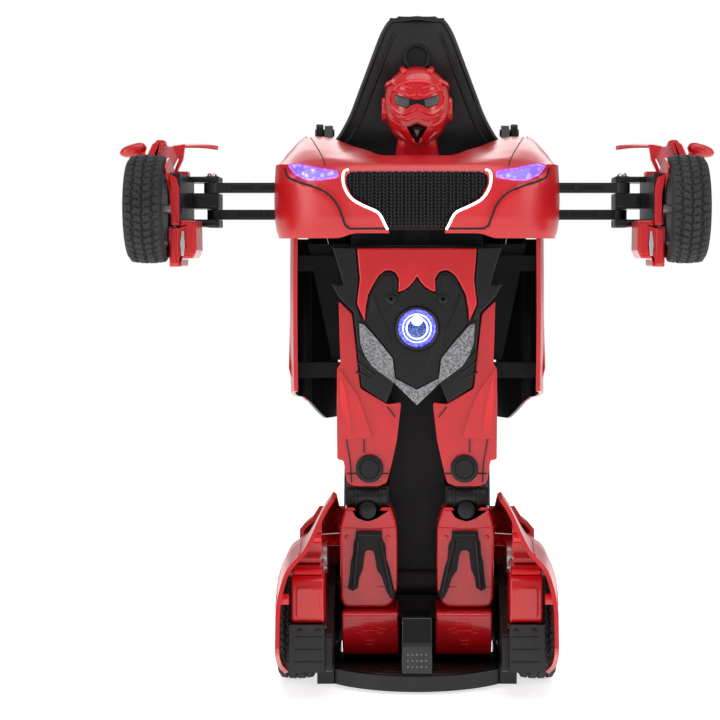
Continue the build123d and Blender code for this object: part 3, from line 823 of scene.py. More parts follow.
def make_doors():
    """Each door is a red skin lined in black, with a dark side window above its shoulder."""
    section = [(61.1, -33), (63.6, -18), (63.9, -6), (63.7, 4), (62.6, 10.5), (60.6, 15), (57.4, 19.6)]
    glass = [(57.2, 20), (52.8, 30), (48.4, 39.5), (44.2, 48.6)]
    for label, side in BOTH:
        rows = []
        for x, y in smooth_line(section, 5):
            low = level([(-33, 145.6), (15, 139.3), (36, 126.1)], y)
            high = 221.6
            rows.append([(side * (x + 0.25 * math.sin(math.pi * t)), y, low + (high - low) * t)
                         for t in np.linspace(0, 1, 24)])
        skin = sheet(f"{label}_door_skin", rows if side > 0 else rows[::-1], "torso", PAINT, thickness=2.2,
                     lining=BLACK, bevel=0.35, segments=2)
        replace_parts(skin, f"{label}_door")
        rows = []
        for x, y in smooth_line(glass, 5):
            low = level([(15, 139.4), (36, 126.2), (50, 125.4)], y)
            trim_in = level([(30, 0), (49, 1.0)], y)
            top = level([(20, 247.6), (28, 247.4), (50.5, 192.6)], y)
            rows.append([(side * x, y, low + trim_in + (top - 2 * trim_in - low) * t)
                         for t in np.linspace(0, 1, 24)])
        window = [[(side * max(abs(x), glass_half(z) + 0.9), y, z) for x, y, z in row] for row in rows]
        sheet(f"{label}_side_window", window if side > 0 else window[::-1], "torso", SHINE, thickness=2.0,
              lining=BLACK, bevel=0.3, segments=2)
        tube(f"{label}_door_crease", [[(side * (64.0 if y > -20 else 62.8), y, z) for y,
                                       z in smooth_line([(-22, 152), (-10, 180), (-4, 218)], 6)]], 0.55,
             "torso", PAINT)
        tube(f"{label}_door_handle", [smooth_line([(side * 63.6, 7.6, 158), (side * 64.6, 7.2, 163),
                                                   (side * 64.6, 7.2, 172), (side * 63.6, 7.6, 177)], 5)],
             0.9, "torso", PAINT, resolution=3)


def glass_half(z):
    """Half width of the opening that the back panel fills, at a height."""
    return level([(165, 40.3), (190, 42.2), (262, 57.2)], z)


# torso: front plates ----------------------------------------------------------------------------------------
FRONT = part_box("belly_plate")[0].y / MM - 1
CORE_Z = 177


def make_torso_front():
    red = [(0, 216.5), (29.5, 216.5), (28.9, 209), (28.2, 201), (28.9, 195.5), (29.6, 189), (25.7, 180.4),
           (25.2, 187), (24, 193.6), (20.7, 200), (18.4, 203.4), (15.5, 205.5), (13, 205.6), (10.7, 204.5),
           (9, 201.6), (9.1, 198), (9.3, 194.8), (6.6, 195.7), (4, 197.4), (1.8, 199.8), (0, 202.7)]
    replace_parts(slab("belly_plate_red", mirrored(red), FRONT + 1, FRONT + 4, "torso", GLOSS, bevel=0.7),
                "belly_plate")
    core = [(0, 201.6), (2, 199.2), (4.2, 196.6), (9.4, 194.2), (9.3, 200.6), (11, 203.6), (13.2, 204.9),
            (15.4, 204.8), (18, 203), (20.3, 199.4), (23.3, 193.2), (24.6, 187), (25.0, 179.8),
            (11.2, 162.2), (10.2, 152.6), (0, 147.2)]
    plate = slab("core_plate_black", mirrored(core), FRONT + 1.6, FRONT + 6, "torso", MATTE, bevel=0.6)
    bake(plate, drill(11.15, -8, 8, (0, FRONT + 3, CORE_Z), "y"))
    soften(plate, 0.3, 2, 40)
    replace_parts(plate, "core_plate")
    for label, side in BOTH:
        facet = [(12.6, 203.4), (15.3, 203.6), (21.6, 196), (17, 185.4), (13.4, 186.4), (11.4, 193.6)]
        slab(f"{label}_core_shoulder", flipped(facet, side), FRONT + 0.9, FRONT + 2, "torso", MATTE,
             corner=0.8, bevel=0.5)
        facet = [(18.2, 184.8), (22.6, 194), (24.3, 180.6), (15, 168), (12.6, 169.8), (15.4, 179)]
        slab(f"{label}_core_flank", flipped(facet, side), FRONT + 1.0, FRONT + 2, "torso", MATTE,
             corner=0.8, bevel=0.5)
        knob(f"{label}_core_bolt", 2.7, (side * 12.8, FRONT + 1.4, 191.6), "y", -1.0, 0.6, "torso", BLACK,
             dish=0.5)
        grey = [(10.9, 149.6), (22.3, 158.2), (25.8, 163.6), (28, 169.7), (28.6, 179.4), (26.2, 178.8),
                (18.6, 170.4), (12.0, 162), (11.4, 156.4), (10.7, 152.2)]
        leaf = slab(f"{label}_grey_leaf", flipped(grey, side), FRONT + 1.9, FRONT + 6, "torso", GREY,
                    corner=0.5, bevel=0.5)
        if side > 0:
            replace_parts(leaf, "core_trim")
        wing = [(30.2, 216.8), (42.2, 217.3), (40.4, 212.6), (39, 208), (37.6, 203.2), (36.4, 198.6),
                (39.4, 198.6), (42.3, 199.2), (39, 192.8), (35.3, 188.8), (31.6, 185.2), (29.0, 180.6),
                (27.4, 181.6), (30.2, 189), (29.4, 195), (28.9, 201), (29.6, 209)]
        fin = slab(f"{label}_waist_wing", flipped(wing, side), FRONT + 1.6, FRONT + 5, "torso", BLACK,
                   bevel=0.7)
        if side > 0:
            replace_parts(fin, "waist_wings")
        for k in range(3):
            rib = [(19.6 + 1.6 * k, 155.6 - 1.9 * k), (29.6 + 0.3 * k, 165.6 - 5.2 * k)]
            line = [(side * x, FRONT + 5.9, z) for x, z in rib]
            tube(f"{label}_hip_rib_{k + 1}", [line], 0.55, "torso", BLACK)
    vee = [(0, 146.7), (10.6, 152.2), (10.8, 149.4), (0, 138.8)]
    slab("grey_chevron", mirrored(vee), FRONT + 1.9, FRONT + 6, "torso", GREY, bevel=0.5)
    tub = [(0, 218), (33, 218), (33.5, 190), (31.4, 184), (27.6, 147.7), (15.2, 139.6), (11.3, 149),
           (0, 149)]
    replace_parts(slab("torso_tub_black", mirrored(tub), FRONT + 6.1, -2.1, "torso", BLACK, bevel=0.8),
                "torso_tub")

    # round lamp: bezel, blue reflector rings and a white hot middle
    at = (0, FRONT, CORE_Z)
    bezel = [(9.4, 5), (11, 5), (11, 1.0), (10.7, 0.5), (10.1, 0.2), (9.6, 0.5), (9.3, 1.4)]
    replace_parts(lathe("lamp_bezel", bezel, at, "y", "torso", BLACK), "chest_lamp")
    bowl = [(0, 4.2), (3.0, 4.0), (3.4, 2.9), (5.0, 2.6), (5.4, 3.2), (6.8, 2.2), (7.2, 2.7), (8.4, 1.3),
            (9.25, 1.0), (9.25, 5), (0, 5)]
    lathe("lamp_reflector", bowl, at, "y", "torso", CORE_BLUE, closed=False)
    for k, (radius, cord, colour) in enumerate(((5.2, 0.4, CORE_WHITE), (7.0, 0.25, CORE_WHITE),
                                                (8.7, 0.4, CORE_BLUE))):
        ring = [(radius * math.cos(a), FRONT + 1.6 + 0.25 * (2 - k), CORE_Z + radius * math.sin(a))
                for a in np.linspace(0, 2 * math.pi, 64, endpoint=False)]
        tube(f"lamp_ring_{k + 1}", [ring], cord, "torso", colour, cyclic=True)
    lathe("lamp_deep_lens", [(0, 1.9), (2.6, 2.0), (4.6, 2.5), (4.7, 3.0), (0, 3.0)], at, "y", "torso",
          CORE_DEEP, closed=False)
    lathe("lamp_hot_spot", [(0, 1.3), (1.8, 1.5), (2.7, 2.2), (2.9, 3.0), (0, 3.2)],
          (0, FRONT, CORE_Z + 3.6), "y", "torso", CORE_WHITE, closed=False)


# legs -------------------------------------------------------------------------------------------------------
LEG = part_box("left_shin")[0].y / MM - 2


def make_legs():
    for label, side in BOTH:
        thigh = [(7.8, 140), (14.6, 139), (28.2, 147), (32.2, 184), (38.9, 190.5), (38.4, 170), (38, 159),
                 (39.8, 156.8), (39.9, 134), (39.8, 111.4), (36.7, 111), (35.6, 104.5), (34.4, 99.4),
                 (31, 98), (19, 98), (15, 99.8), (12.6, 109), (10, 121)]
        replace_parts(slab(f"{label}_thigh_shell", flipped(thigh, side), LEG + 2.6, LEG + 8.2, "torso", GLOSS,
                         corner=1.2, bevel=0.8, segments=4), f"{label}_thigh")
        rear = [(10.6, 138.9), (39.6, 138.9), (39.5, 112), (36.2, 111.4), (35, 104.5), (34, 99.9),
                (31, 98.5), (19, 98.5), (15.4, 100.2), (13, 109), (10.5, 121)]
        slab(f"{label}_thigh_rear", flipped(rear, side), LEG + 8.3, -8, "torso", GLOSS, corner=1.0,
             bevel=0.5)
        guard = [(38.4, 156.6), (39.7, 154.6), (39.4, 138), (38.4, 122.2), (30, 122.2), (22.4, 122.8),
                 (25.4, 132.6), (29.4, 143.4)]
        slab(f"{label}_thigh_guard", flipped(guard, side), LEG + 0.2, LEG + 3, "torso", GLOSS, corner=0.5,
             bevel=0.6)
        ridge = [(38.0, 153.6), (38.2, 138), (37.2, 124), (32.2, 124), (33.4, 136), (35.4, 146)]
        slab(f"{label}_thigh_guard_ridge", flipped(ridge, side), LEG - 0.5, LEG + 0.6, "torso", GLOSS,
             corner=0.4, bevel=0.45)
        for k, line in enumerate(([(26.3, 121.6), (26.3, 114.8)], [(14.8, 137.8), (10.8, 132.6)],
                                  [(14, 104.4), (17.4, 104.4)], [(30.2, 104.4), (35, 104.4)],
                                  [(35.2, 121.6), (33.2, 110), (32.6, 100)])):
            tube(f"{label}_thigh_seam_{k + 1}", [[(side * x, LEG + 1.85, z) for x, z in line]], 0.3,
                 "torso", MATTE)
        cap = knob(f"{label}_knee_cap", 6.9, (side * 23.6, LEG, 107), "y", -1.2, 2.6, "torso", BLACK,
                   dish=0.7, edge=0.9)
        if side > 0:
            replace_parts(cap, "knee_caps")
        # knee barrel under the thigh
        knee = (0, LEG + 7, 92.5)
        low, high = span(side, 15, 34.5)
        barrel = [(0, low), (4.7, low), (5.0, low + 0.5), (5.0, high - 0.5), (4.7, high), (0, high)]
        lathe(f"{label}_knee_barrel", barrel, knee, "x", "torso", BLACK, closed=False)
        for k in range(2):
            ring = side * (18.5 + 12 * k)
            lathe(f"{label}_knee_ring_{k + 1}", [(4.9, ring - 0.8), (5.5, ring - 0.6), (5.5, ring + 0.6),
                                                 (4.9, ring + 0.8)], knee, "x", "torso", MATTE)
        knob(f"{label}_knee_hub", 4.6, (side * 24.6, LEG + 2.4, 86.2), "y", -2.2, 2.6, "torso", BLACK,
             edge=1.4)

        shin = [(13.2, 87.4), (18, 87.4), (20, 83.6), (24.6, 82), (29.2, 83.6), (31.2, 87.4), (35.8, 87.4),
                (38, 80.4), (38.8, 76), (38.4, 58), (38.2, 42), (36.8, 38.2), (34, 37.3), (16, 37.3),
                (12.4, 39.4), (10, 46.4), (9.8, 60), (10, 76), (10.8, 81)]
        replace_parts(slab(f"{label}_shin_shell", flipped(shin, side), LEG + 2.6, -8, "torso", GLOSS,
                         corner=1.0, crown=0.6, inset=1.6, bevel=0.5, angle=28), f"{label}_shin")
        tube(f"{label}_shin_shoulder_line", [[(side * x, LEG + 1.8, z) for x, z in smooth_line(
            [(10.4, 77.4), (17, 77), (24.4, 76.6), (31, 77), (38.2, 77.6)], 5)]], 0.4, "torso", GLOSS)
        tube(f"{label}_shin_lower_line", [[(side * x, LEG + 1.9, 47.6) for x in (12, 20)],
                                          [(side * x, LEG + 1.9, 47.6) for x in (31, 37)]], 0.35, "torso",
             GLOSS)
        brace = [(30.4, 75.8), (30.6, 72.4), (31.6, 69.6), (31.8, 64.6), (33, 60), (33.4, 54), (34.4, 47.2),
                 (32, 45.8), (29.4, 47.6), (28.8, 52.6), (27, 56.6), (26, 65.2), (24.8, 66.4), (22, 66.2),
                 (21, 64), (19.9, 56.4), (17.4, 52.8), (15.4, 46.4), (13.2, 42), (10.6, 43.2), (12.4, 50.6),
                 (13.8, 57.2), (15.4, 62), (15.6, 68.4), (17.2, 71.6), (17.4, 75.8)]
        brace_plate = slab(f"{label}_shin_brace", flipped(brace, side), LEG - 0.3, LEG + 2.6, "torso",
                           MATTE, corner=0.5, bevel=0.6)
        if side > 0:
            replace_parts(brace_plate, "shin_braces")
        rods = [[(side * 29.4, LEG - 0.2, 71), (side * 31.6, LEG - 0.2, 48.4)],
                [(side * 18.4, LEG - 0.2, 71), (side * 12.6, LEG - 0.2, 45.2)]]
        tube(f"{label}_brace_rods", rods, 1.1, "torso", BLACK, resolution=3)
        tube(f"{label}_brace_top_bar", [[(side * 18.6, LEG - 0.2, 74), (side * 29.4, LEG - 0.2, 74)]], 1.0,
             "torso", BLACK, resolution=3)
        for k, x in enumerate((14.4, 34.8)):
            knob(f"{label}_shin_rivet_{k + 1}", 1.2, (side * x, LEG + 1.8, 72.6), "y", -0.5, 0.5, "torso",
                 GLOSS, edge=0.5)

        # foot: rounded box with an embossed cowl on its front
        foot = [(-4.4, 36.4), (-38.6, 36.4), (-40.5, 34.6), (-39.8, 32.4), (-38.5, 28.8), (-36.2, 24.4),
                (-32.9, 19.6), (-28.5, 14.8), (-26.3, 12.5), (-4.4, 12.4)]
        sole = slab(f"{label}_foot_shell", foot, *span(side, 9.4, 37.3), "torso", GLOSS, axis="x",
                    corner=2.0, bevel=0.9)
        bake(sole, drill(7.7, -50, 50, (0, 0, 45), "x"))
        soften(sole, 0.4, 2, 40)
        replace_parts(sole, f"{label}_foot")
        tree = surface_tree(sole)
        cowl = [(15.4, 27.4), (19.6, 28.2), (21, 31), (26, 31), (27.6, 28.2), (31.6, 27.4), (30.2, 25.4),
                (27.2, 25.2), (26, 21.2), (21, 21.2), (19.8, 25.2), (16.8, 25.4), (15.4, 27.4)]
        tube(f"{label}_foot_emboss", [laid(tree, flipped(cowl, side), -0.1)], 0.5, "torso", GLOSS)
        tube(f"{label}_foot_emboss_bars", [laid(tree, flipped(line, side), -0.1)
                                           for line in ([(21, 33.2), (26, 33.2)], [(19, 26.6), (28, 26.6)],
                                                        [(22, 18.8), (25.4, 18.8)])], 0.42, "torso", GLOSS)


make_head()
make_back()
make_doors()
make_torso_front()
make_legs()


# base -------------------------------------------------------------------------------------------------------
REAR_SECTION = [(66, 10), (68.8, 16), (70, 24), (70, 36), (69.6, 48), (67.6, 58), (64.6, 65.4), (60, 70),
                (56, 73.5), (51.6, 80), (46.8, 89), (43.6, 94), (41.6, 96.6)]
SHELL_LOW, SHELL_HIGH = [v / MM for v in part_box("left_rear_shell")]
AXLE_Y, AXLE_Z = -22, 26


def rear_point(u, v, section):
    """A point of the rear shell: u up its section, v from the slanted front edge to the tail panel."""
    x, z = section[u]
    start = np.interp(z, [10, 28, 60, 99], [-60, -96.6, -92, -66])
    y = start + (SHELL_HIGH.y - start) * v
    roof = np.interp(y, [-66, -40, 0, 34, 40], [99, 99, 88, 81, 79]) - 2.4
    if z > 62:
        z = 62 + (z - 62) * (roof - 62) / (96.6 - 62)
    tuck = 70 - np.interp(y, [-98, -36, 4, 27, 36], [66.4, 70, 70, 67, 61.4])
    x = x - tuck * between(x, 40, 66)
    reach = math.hypot(y - AXLE_Y, z - AXLE_Z)
    lip = 0.7 * math.exp(-((reach - 31.5) / 2.2) ** 2) if z < 62 else 0
    dent = 0.9 * math.exp(-((z - 44 - 0.05 * (y + 60)) / 3.2) ** 2) * between(y, -96, -70) * (reach > 33)
    return x + lip - dent - 0.4, y, z


def make_rear_shells():
    section = smooth_line(REAR_SECTION, 4)
    for label, side in BOTH:
        rows = [[rear_point(u, v, section) for v in np.linspace(0, 1, 61)] for u in range(len(section))]
        rows = [[(side * x, y, z) for x, y, z in row] for row in rows]
        skin = sheet(f"{label}_rear_shell_skin", rows if side < 0 else rows[::-1], "base", PAINT,
                     thickness=2.0, lining=GLOSS)
        hole = drill(29.5, *span(side, 46, 90), (0, AXLE_Y, AXLE_Z), "x")
        bake(skin, hole, own_hits=True)
        soften(skin, 0.4, 2, 45)
        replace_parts(skin, f"{label}_rear_shell")
        crease = [rear_point(30, v, section) for v in np.linspace(0.02, 0.98, 30)]
        tube(f"{label}_shoulder_crease", [[(side * (x + 0.1), y, z) for x, y, z in crease]], 0.5, "base",
             PAINT)
        for k, (y, z) in enumerate(((-84, 52), (-70, 78), (-60, 60))):
            spot = min((rear_point(u, v, section) for u in range(len(section))
                        for v in np.linspace(0, 1, 41)), key=lambda p: abs(p[1] - y) + abs(p[2] - z))
            low, high = span(side, spot[0] - 5.6, spot[0] - 1.6)
            lathe(f"{label}_shell_boss_{k + 1}", [(0.9, low), (2.6, low), (2.6, high), (0.9, high)],
                  (0, spot[1], spot[2]), "x", "base", GLOSS, steps=32)


def make_tail():
    """Black diffuser fins, exhausts and a blank plate recess below the tail lamps."""
    keep(["tail_panel"], PAINT, 0.6, 3)
    keep(["tail_lamps"], TAIL, 0.3)
    face = 51.2
    for k in range(6):
        x = -15 + k * 6
        fin = [(46, 11.5), (face + 1.6, 11.5), (face + 1.6, 14), (face, 18), (46, 18)]
        slab(f"diffuser_fin_{k + 1}", fin, x - 0.9, x + 0.9, "base", BLACK, axis="x", bevel=0.3)
    for label, side in BOTH:
        at = (side * 30, face - 3, 17)
        lathe(f"{label}_exhaust", [(3.2, -2), (4.4, -2), (4.4, 5.4), (4.1, 5.8), (3.5, 5.8), (3.2, 5.4)],
              at, "y", "base", STEEL)
        lathe(f"{label}_exhaust_core", [(0, 1), (3.1, 1), (3.1, 3), (0, 3)], at, "y", "base", MATTE,
              closed=False)
    for z in (33.5, 49.5):
        tube(f"tail_line_{int(z)}", [[(x, 53.1 - 0.16 * (42 - z) if z < 42 else 53.6 - 0.03 * (z - 42), z)
                                      for x in np.linspace(-36, 36, 9)]], 0.4, "base", MATTE)
    plate = [(-13, 34.8), (13, 34.8), (13, 46.4), (-13, 46.4)]
    slab("blank_plate_recess", plate, 54.2, 52.0, "base", BLACK, corner=1.2, bevel=0.3)


def make_base():
    keep(["chassis", "gearboxes", "battery_door"], BLACK, 0.6, 3)
    keep(["base_disc"], BLACK, 1.1, 4)
    keep(["base_screws", "drive_motors"], STEEL, 0.25)
    keep(["hinge_pin", "chest_pins"], BLACK, 0.25)
    keep(["battery_pack"], CELL, 1.2, 3)
    keep(["circuit_board"], BOARD, 0.15)
    keep(["power_switch"], MATTE, 0.4)
    for label, side in BOTH:
        cover = [(-50.6, 37.4), (-73.2, 37.4), (-74.6, 39.6), (-75, 54), (-74, 58), (-71.2, 60),
                 (-66, 60.2), (-50.6, 60.2)]
        shell = slab(f"{label}_drive_cover_shell", cover, *span(side, 44.4, 59.9), "base", GLOSS, axis="x",
                     corner=2.0, bevel=1.0, segments=4)
        if side > 0:
            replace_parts(shell, "drive_covers")
        step_box = [(-71.6, 60.2), (-71.2, 62.4), (-69.6, 63.4), (-52, 63.8), (-52, 60.2)]
        slab(f"{label}_drive_cover_cap", step_box, *span(side, 45.4, 59), "base", GLOSS, axis="x",
             corner=0.8, bevel=0.6)
        wall = [(46.6, 56), (62.8, 56), (62.4, 64), (57.2, 70.4), (53.0, 74), (48.6, 80.4), (46.6, 84)]
        slab(f"{label}_inner_wall", flipped(wall, side), -49.6, -47.6, "base", GLOSS, corner=1.0, bevel=0.4)
        ledge = [(46.6, 64.1), (60.6, 64.1), (60.2, 66.6), (46.6, 66.6)]
        slab(f"{label}_inner_ledge", flipped(ledge, side), -60, -49.4, "base", GLOSS, corner=0.8, bevel=0.5)
        lip = [(46.4, 40), (57.8, 40), (57.8, 55), (46.4, 55)]
        slab(f"{label}_drive_cover_face", flipped(lip, side), -75.5, -74.0, "base", GLOSS, corner=2.4,
             crown=0.3, inset=1.2, bevel=0.35)
        for k, z in enumerate((19, 25, 31)):
            low, high = span(side, 45, 58)
            tube(f"{label}_gearbox_rib_{k + 1}", [[(low, -76, z), (high, -76, z)]], 0.5, "base", BLACK)
        for k, x in enumerate((47.2, 55.6)):
            knob(f"{label}_gearbox_screw_{k + 1}", 1.4, (side * x, -76, 34), "y", -0.5, 0.4, "base", BLACK,
                 dish=0.3, edge=0.3, steps=24)
        for k in range(9):
            y = -30 + 7 * k
            tube(f"{label}_pad_rib_{k + 1}", [[(side * 43.2, y, 12.0), (side * 48.6, y, 12.0)]], 0.4,
                 "base", MATTE)
    lip = [(51.4 * math.sin(a), -8 - 51.4 * math.cos(a), 9.1) for a in np.linspace(-1.22, 1.22, 60)]
    tube("base_disc_rim", [lip], 0.8, "base", BLACK, resolution=3)
    inner = [(44 * math.sin(a), -8 - 44 * math.cos(a), 9.0) for a in np.linspace(-1.05, 1.05, 50)]
    tube("base_disc_step", [inner], 0.45, "base", BLACK, resolution=2)

    slab("under_tail_lip", [(-43.9, 5.2), (43.9, 5.2), (43.9, 12.2), (-43.9, 12.2)], 44.2, 45.8, "base",
         BLACK, bevel=0.2)

    # sensor post between the feet, with a small clear window
    post = [(-60, 9.1), (-60, 24), (-58.6, 30.4), (-56, 36.9), (-50.1, 36.9), (-50.1, 9.1)]
    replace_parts(slab("sensor_post_shell", post, -7.4, 7.4, "base", SHINE, axis="x", corner=1.2, bevel=0.6),
                "sensor_post")
    slab("sensor_post_collar", [(-7.45, 23.2), (7.45, 23.2), (7.45, 25.4), (-7.45, 25.4)], -60.3, -50.2,
         "base", BLACK, corner=0.8, bevel=0.3)
    for k in range(5):
        for j in range(3):
            knob(f"sensor_dot_{k + 1}_{j + 1}", 0.55, (-4.4 + 2.2 * k, -60, 13.4 + 3 * j), "y", -0.25, 0.2,
                 "base", VISOR, edge=0.2, steps=16)


# wheels -----------------------------------------------------------------------------------------------------
TYRE_R = 26.0


def tread_depth(turn, across):
    """How deep the tread is cut at a place: three wandering grooves and slanted cuts between them."""
    depth = 0.0
    for groove in (-4.6, 0.0, 4.6):
        wander = 0.45 * math.sin(turn * 36 + groove)
        depth = max(depth, 1.0 * (abs(across - groove - wander) < 0.55))
    slant = (turn * 44 / (2 * math.pi) + 0.09 * abs(across)) % 1.0
    if 0.9 < abs(across) < 8.2 and slant < 0.2:
        depth = max(depth, 0.75)
    return depth


def make_tyre(name, centre, body, node):
    """A tyre with a cut tread and two raised rings on each wall."""
    wall = [(-8.6, 19.2), (-9.0, 20.4), (-9.0, 22.4), (-8.6, 24.0), (-7.9, 25.2)]
    crown = [(a, TYRE_R - 0.012 * a * a) for a in np.linspace(-7.0, 7.0, 29)]
    profile = wall + crown + [(-a, r) for a, r in wall[::-1]]
    bm = bmesh.new()
    rings = []
    steps = 264
    for k in range(steps):
        turn = 2 * math.pi * k / steps
        ring = []
        for across, radius in profile + [(8.0, 18.5), (-8.0, 18.5)]:
            if radius > 24.5:
                radius -= tread_depth(turn, across)
            offset = Vector((across, radius * math.cos(turn), radius * math.sin(turn)))
            ring.append(bm.verts.new(Vector(centre) + offset))
        rings.append(ring)
    count = len(rings[0])
    for a, b in zip(rings, rings[1:] + rings[:1]):
        for i in range(count):
            bm.faces.new((a[i], a[(i + 1) % count], b[(i + 1) % count], b[i]))
    tyre = piece(name, bm, body, TYRE, angle=40)
    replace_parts(tyre, node)
    for side in (-1, 1):
        for radius in (20.8, 23.2):
            ring = [Vector(centre) + Vector((side * 8.95, radius * math.cos(a), radius * math.sin(a)))
                    for a in np.linspace(0, 2 * math.pi, 72, endpoint=False)]
            tube(f"{name}_bead_{'in' if side < 0 else 'out'}_{int(radius)}", [ring], 0.28, body, TYRE,
                 cyclic=True)


def make_rim(name, centre, body, outward, node, axle_to):
    """A deep rim with ten twin spokes, a centre cap, wheel nuts and a stub axle."""
    barrel = [(18.45, -8), (18.45, 8), (17.4, 8), (16.6, 7), (16.2, 3), (16.0, -7), (16.8, -8)]
    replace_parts(lathe(name, [(r, outward * a) for r, a in barrel], centre, "x", body, SILVER, steps=96),
                node)
    bm = bmesh.new()
    for k in range(10):
        for lean in (-1, 1):
            turn = 2 * math.pi * k / 10 + lean * 0.09
            outer = 2 * math.pi * k / 10 + lean * 0.16
            inner_at = Vector((0, math.cos(turn), math.sin(turn)))
            outer_at = Vector((0, math.cos(outer), math.sin(outer)))
            across = Vector((0, -math.sin(outer), math.cos(outer)))
            stations = [(inner_at, 4.6, 5.2, 0.9, 2.4), (inner_at * 0.5 + outer_at * 0.5, 10.5, 6.0, 0.75,
                                                         1.9), (outer_at, 16.6, 5.6, 1.0, 2.2)]
            rings = []
            for direction, radius, face, half, deep in stations:
                mid = Vector(centre) + direction.normalized() * radius
                rings.append([bm.verts.new(mid + across * half * c + Vector((outward * (face - d), 0, 0)))
                              for c, d in ((-1, 0.4), (-0.6, 0), (0.6, 0), (1, 0.4), (0.8, deep),
                                           (-0.8, deep))])
            for a, b in zip(rings, rings[1:]):
                for i in range(6):
                    bm.faces.new((a[i], a[(i + 1) % 6], b[(i + 1) % 6], b[i]))
            bm.faces.new(rings[0])
            bm.faces.new(rings[-1][::-1])
    piece(f"{name}_spokes", bm, body, SILVER, angle=30, bevel=0.2, segments=2)
    hub = [(0, 6.6), (2.6, 6.5), (3.4, 6.0), (3.6, 5.4), (5.4, 5.2), (5.8, 4.4), (5.8, 1.5), (0, 1.5)]
    lathe(f"{name}_hub", [(r, outward * a) for r, a in hub], centre, "x", body, SILVER, closed=False,
          steps=48)
    for k in range(5):
        turn = 2 * math.pi * k / 5
        at = Vector(centre) + Vector((0, 4.5 * math.cos(turn), 4.5 * math.sin(turn)))
        nut = [(0, 5.9), (0.45, 5.9), (0.6, 5.6), (0.6, 5.0), (0, 5.0)]
        lathe(f"{name}_nut_{k + 1}", [(r, outward * a) for r, a in nut], at, "x", body, STEEL, closed=False,
              steps=12)
    span = sorted((centre[0] + outward * 2, axle_to))
    lathe(f"{name}_axle", [(0, span[0]), (2.4, span[0]), (2.4, span[1]), (0, span[1])],
          (0, centre[1], centre[2]), "x", body, STEEL, closed=False, steps=32)


def make_wheels():
    for label, side in BOTH:
        for end in ("front", "rear"):
            low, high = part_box(f"{label}_{end}_tyre")
            centre = tuple((low + high) / 2 / MM)
            body = f"{label}_{end}_wheel"
            rim_low, rim_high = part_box(f"{label}_{end}_rim")
            inner_end = (rim_low.x if side > 0 else rim_high.x) / MM
            make_tyre(f"{label}_{end}_tyre_rubber", centre, body, f"{label}_{end}_tyre")
            make_rim(f"{label}_{end}_wheel_rim", centre, body, side, f"{label}_{end}_rim", inner_end)


# arms -------------------------------------------------------------------------------------------------------
HAND_X = 102
WHEEL_Y = -61.7


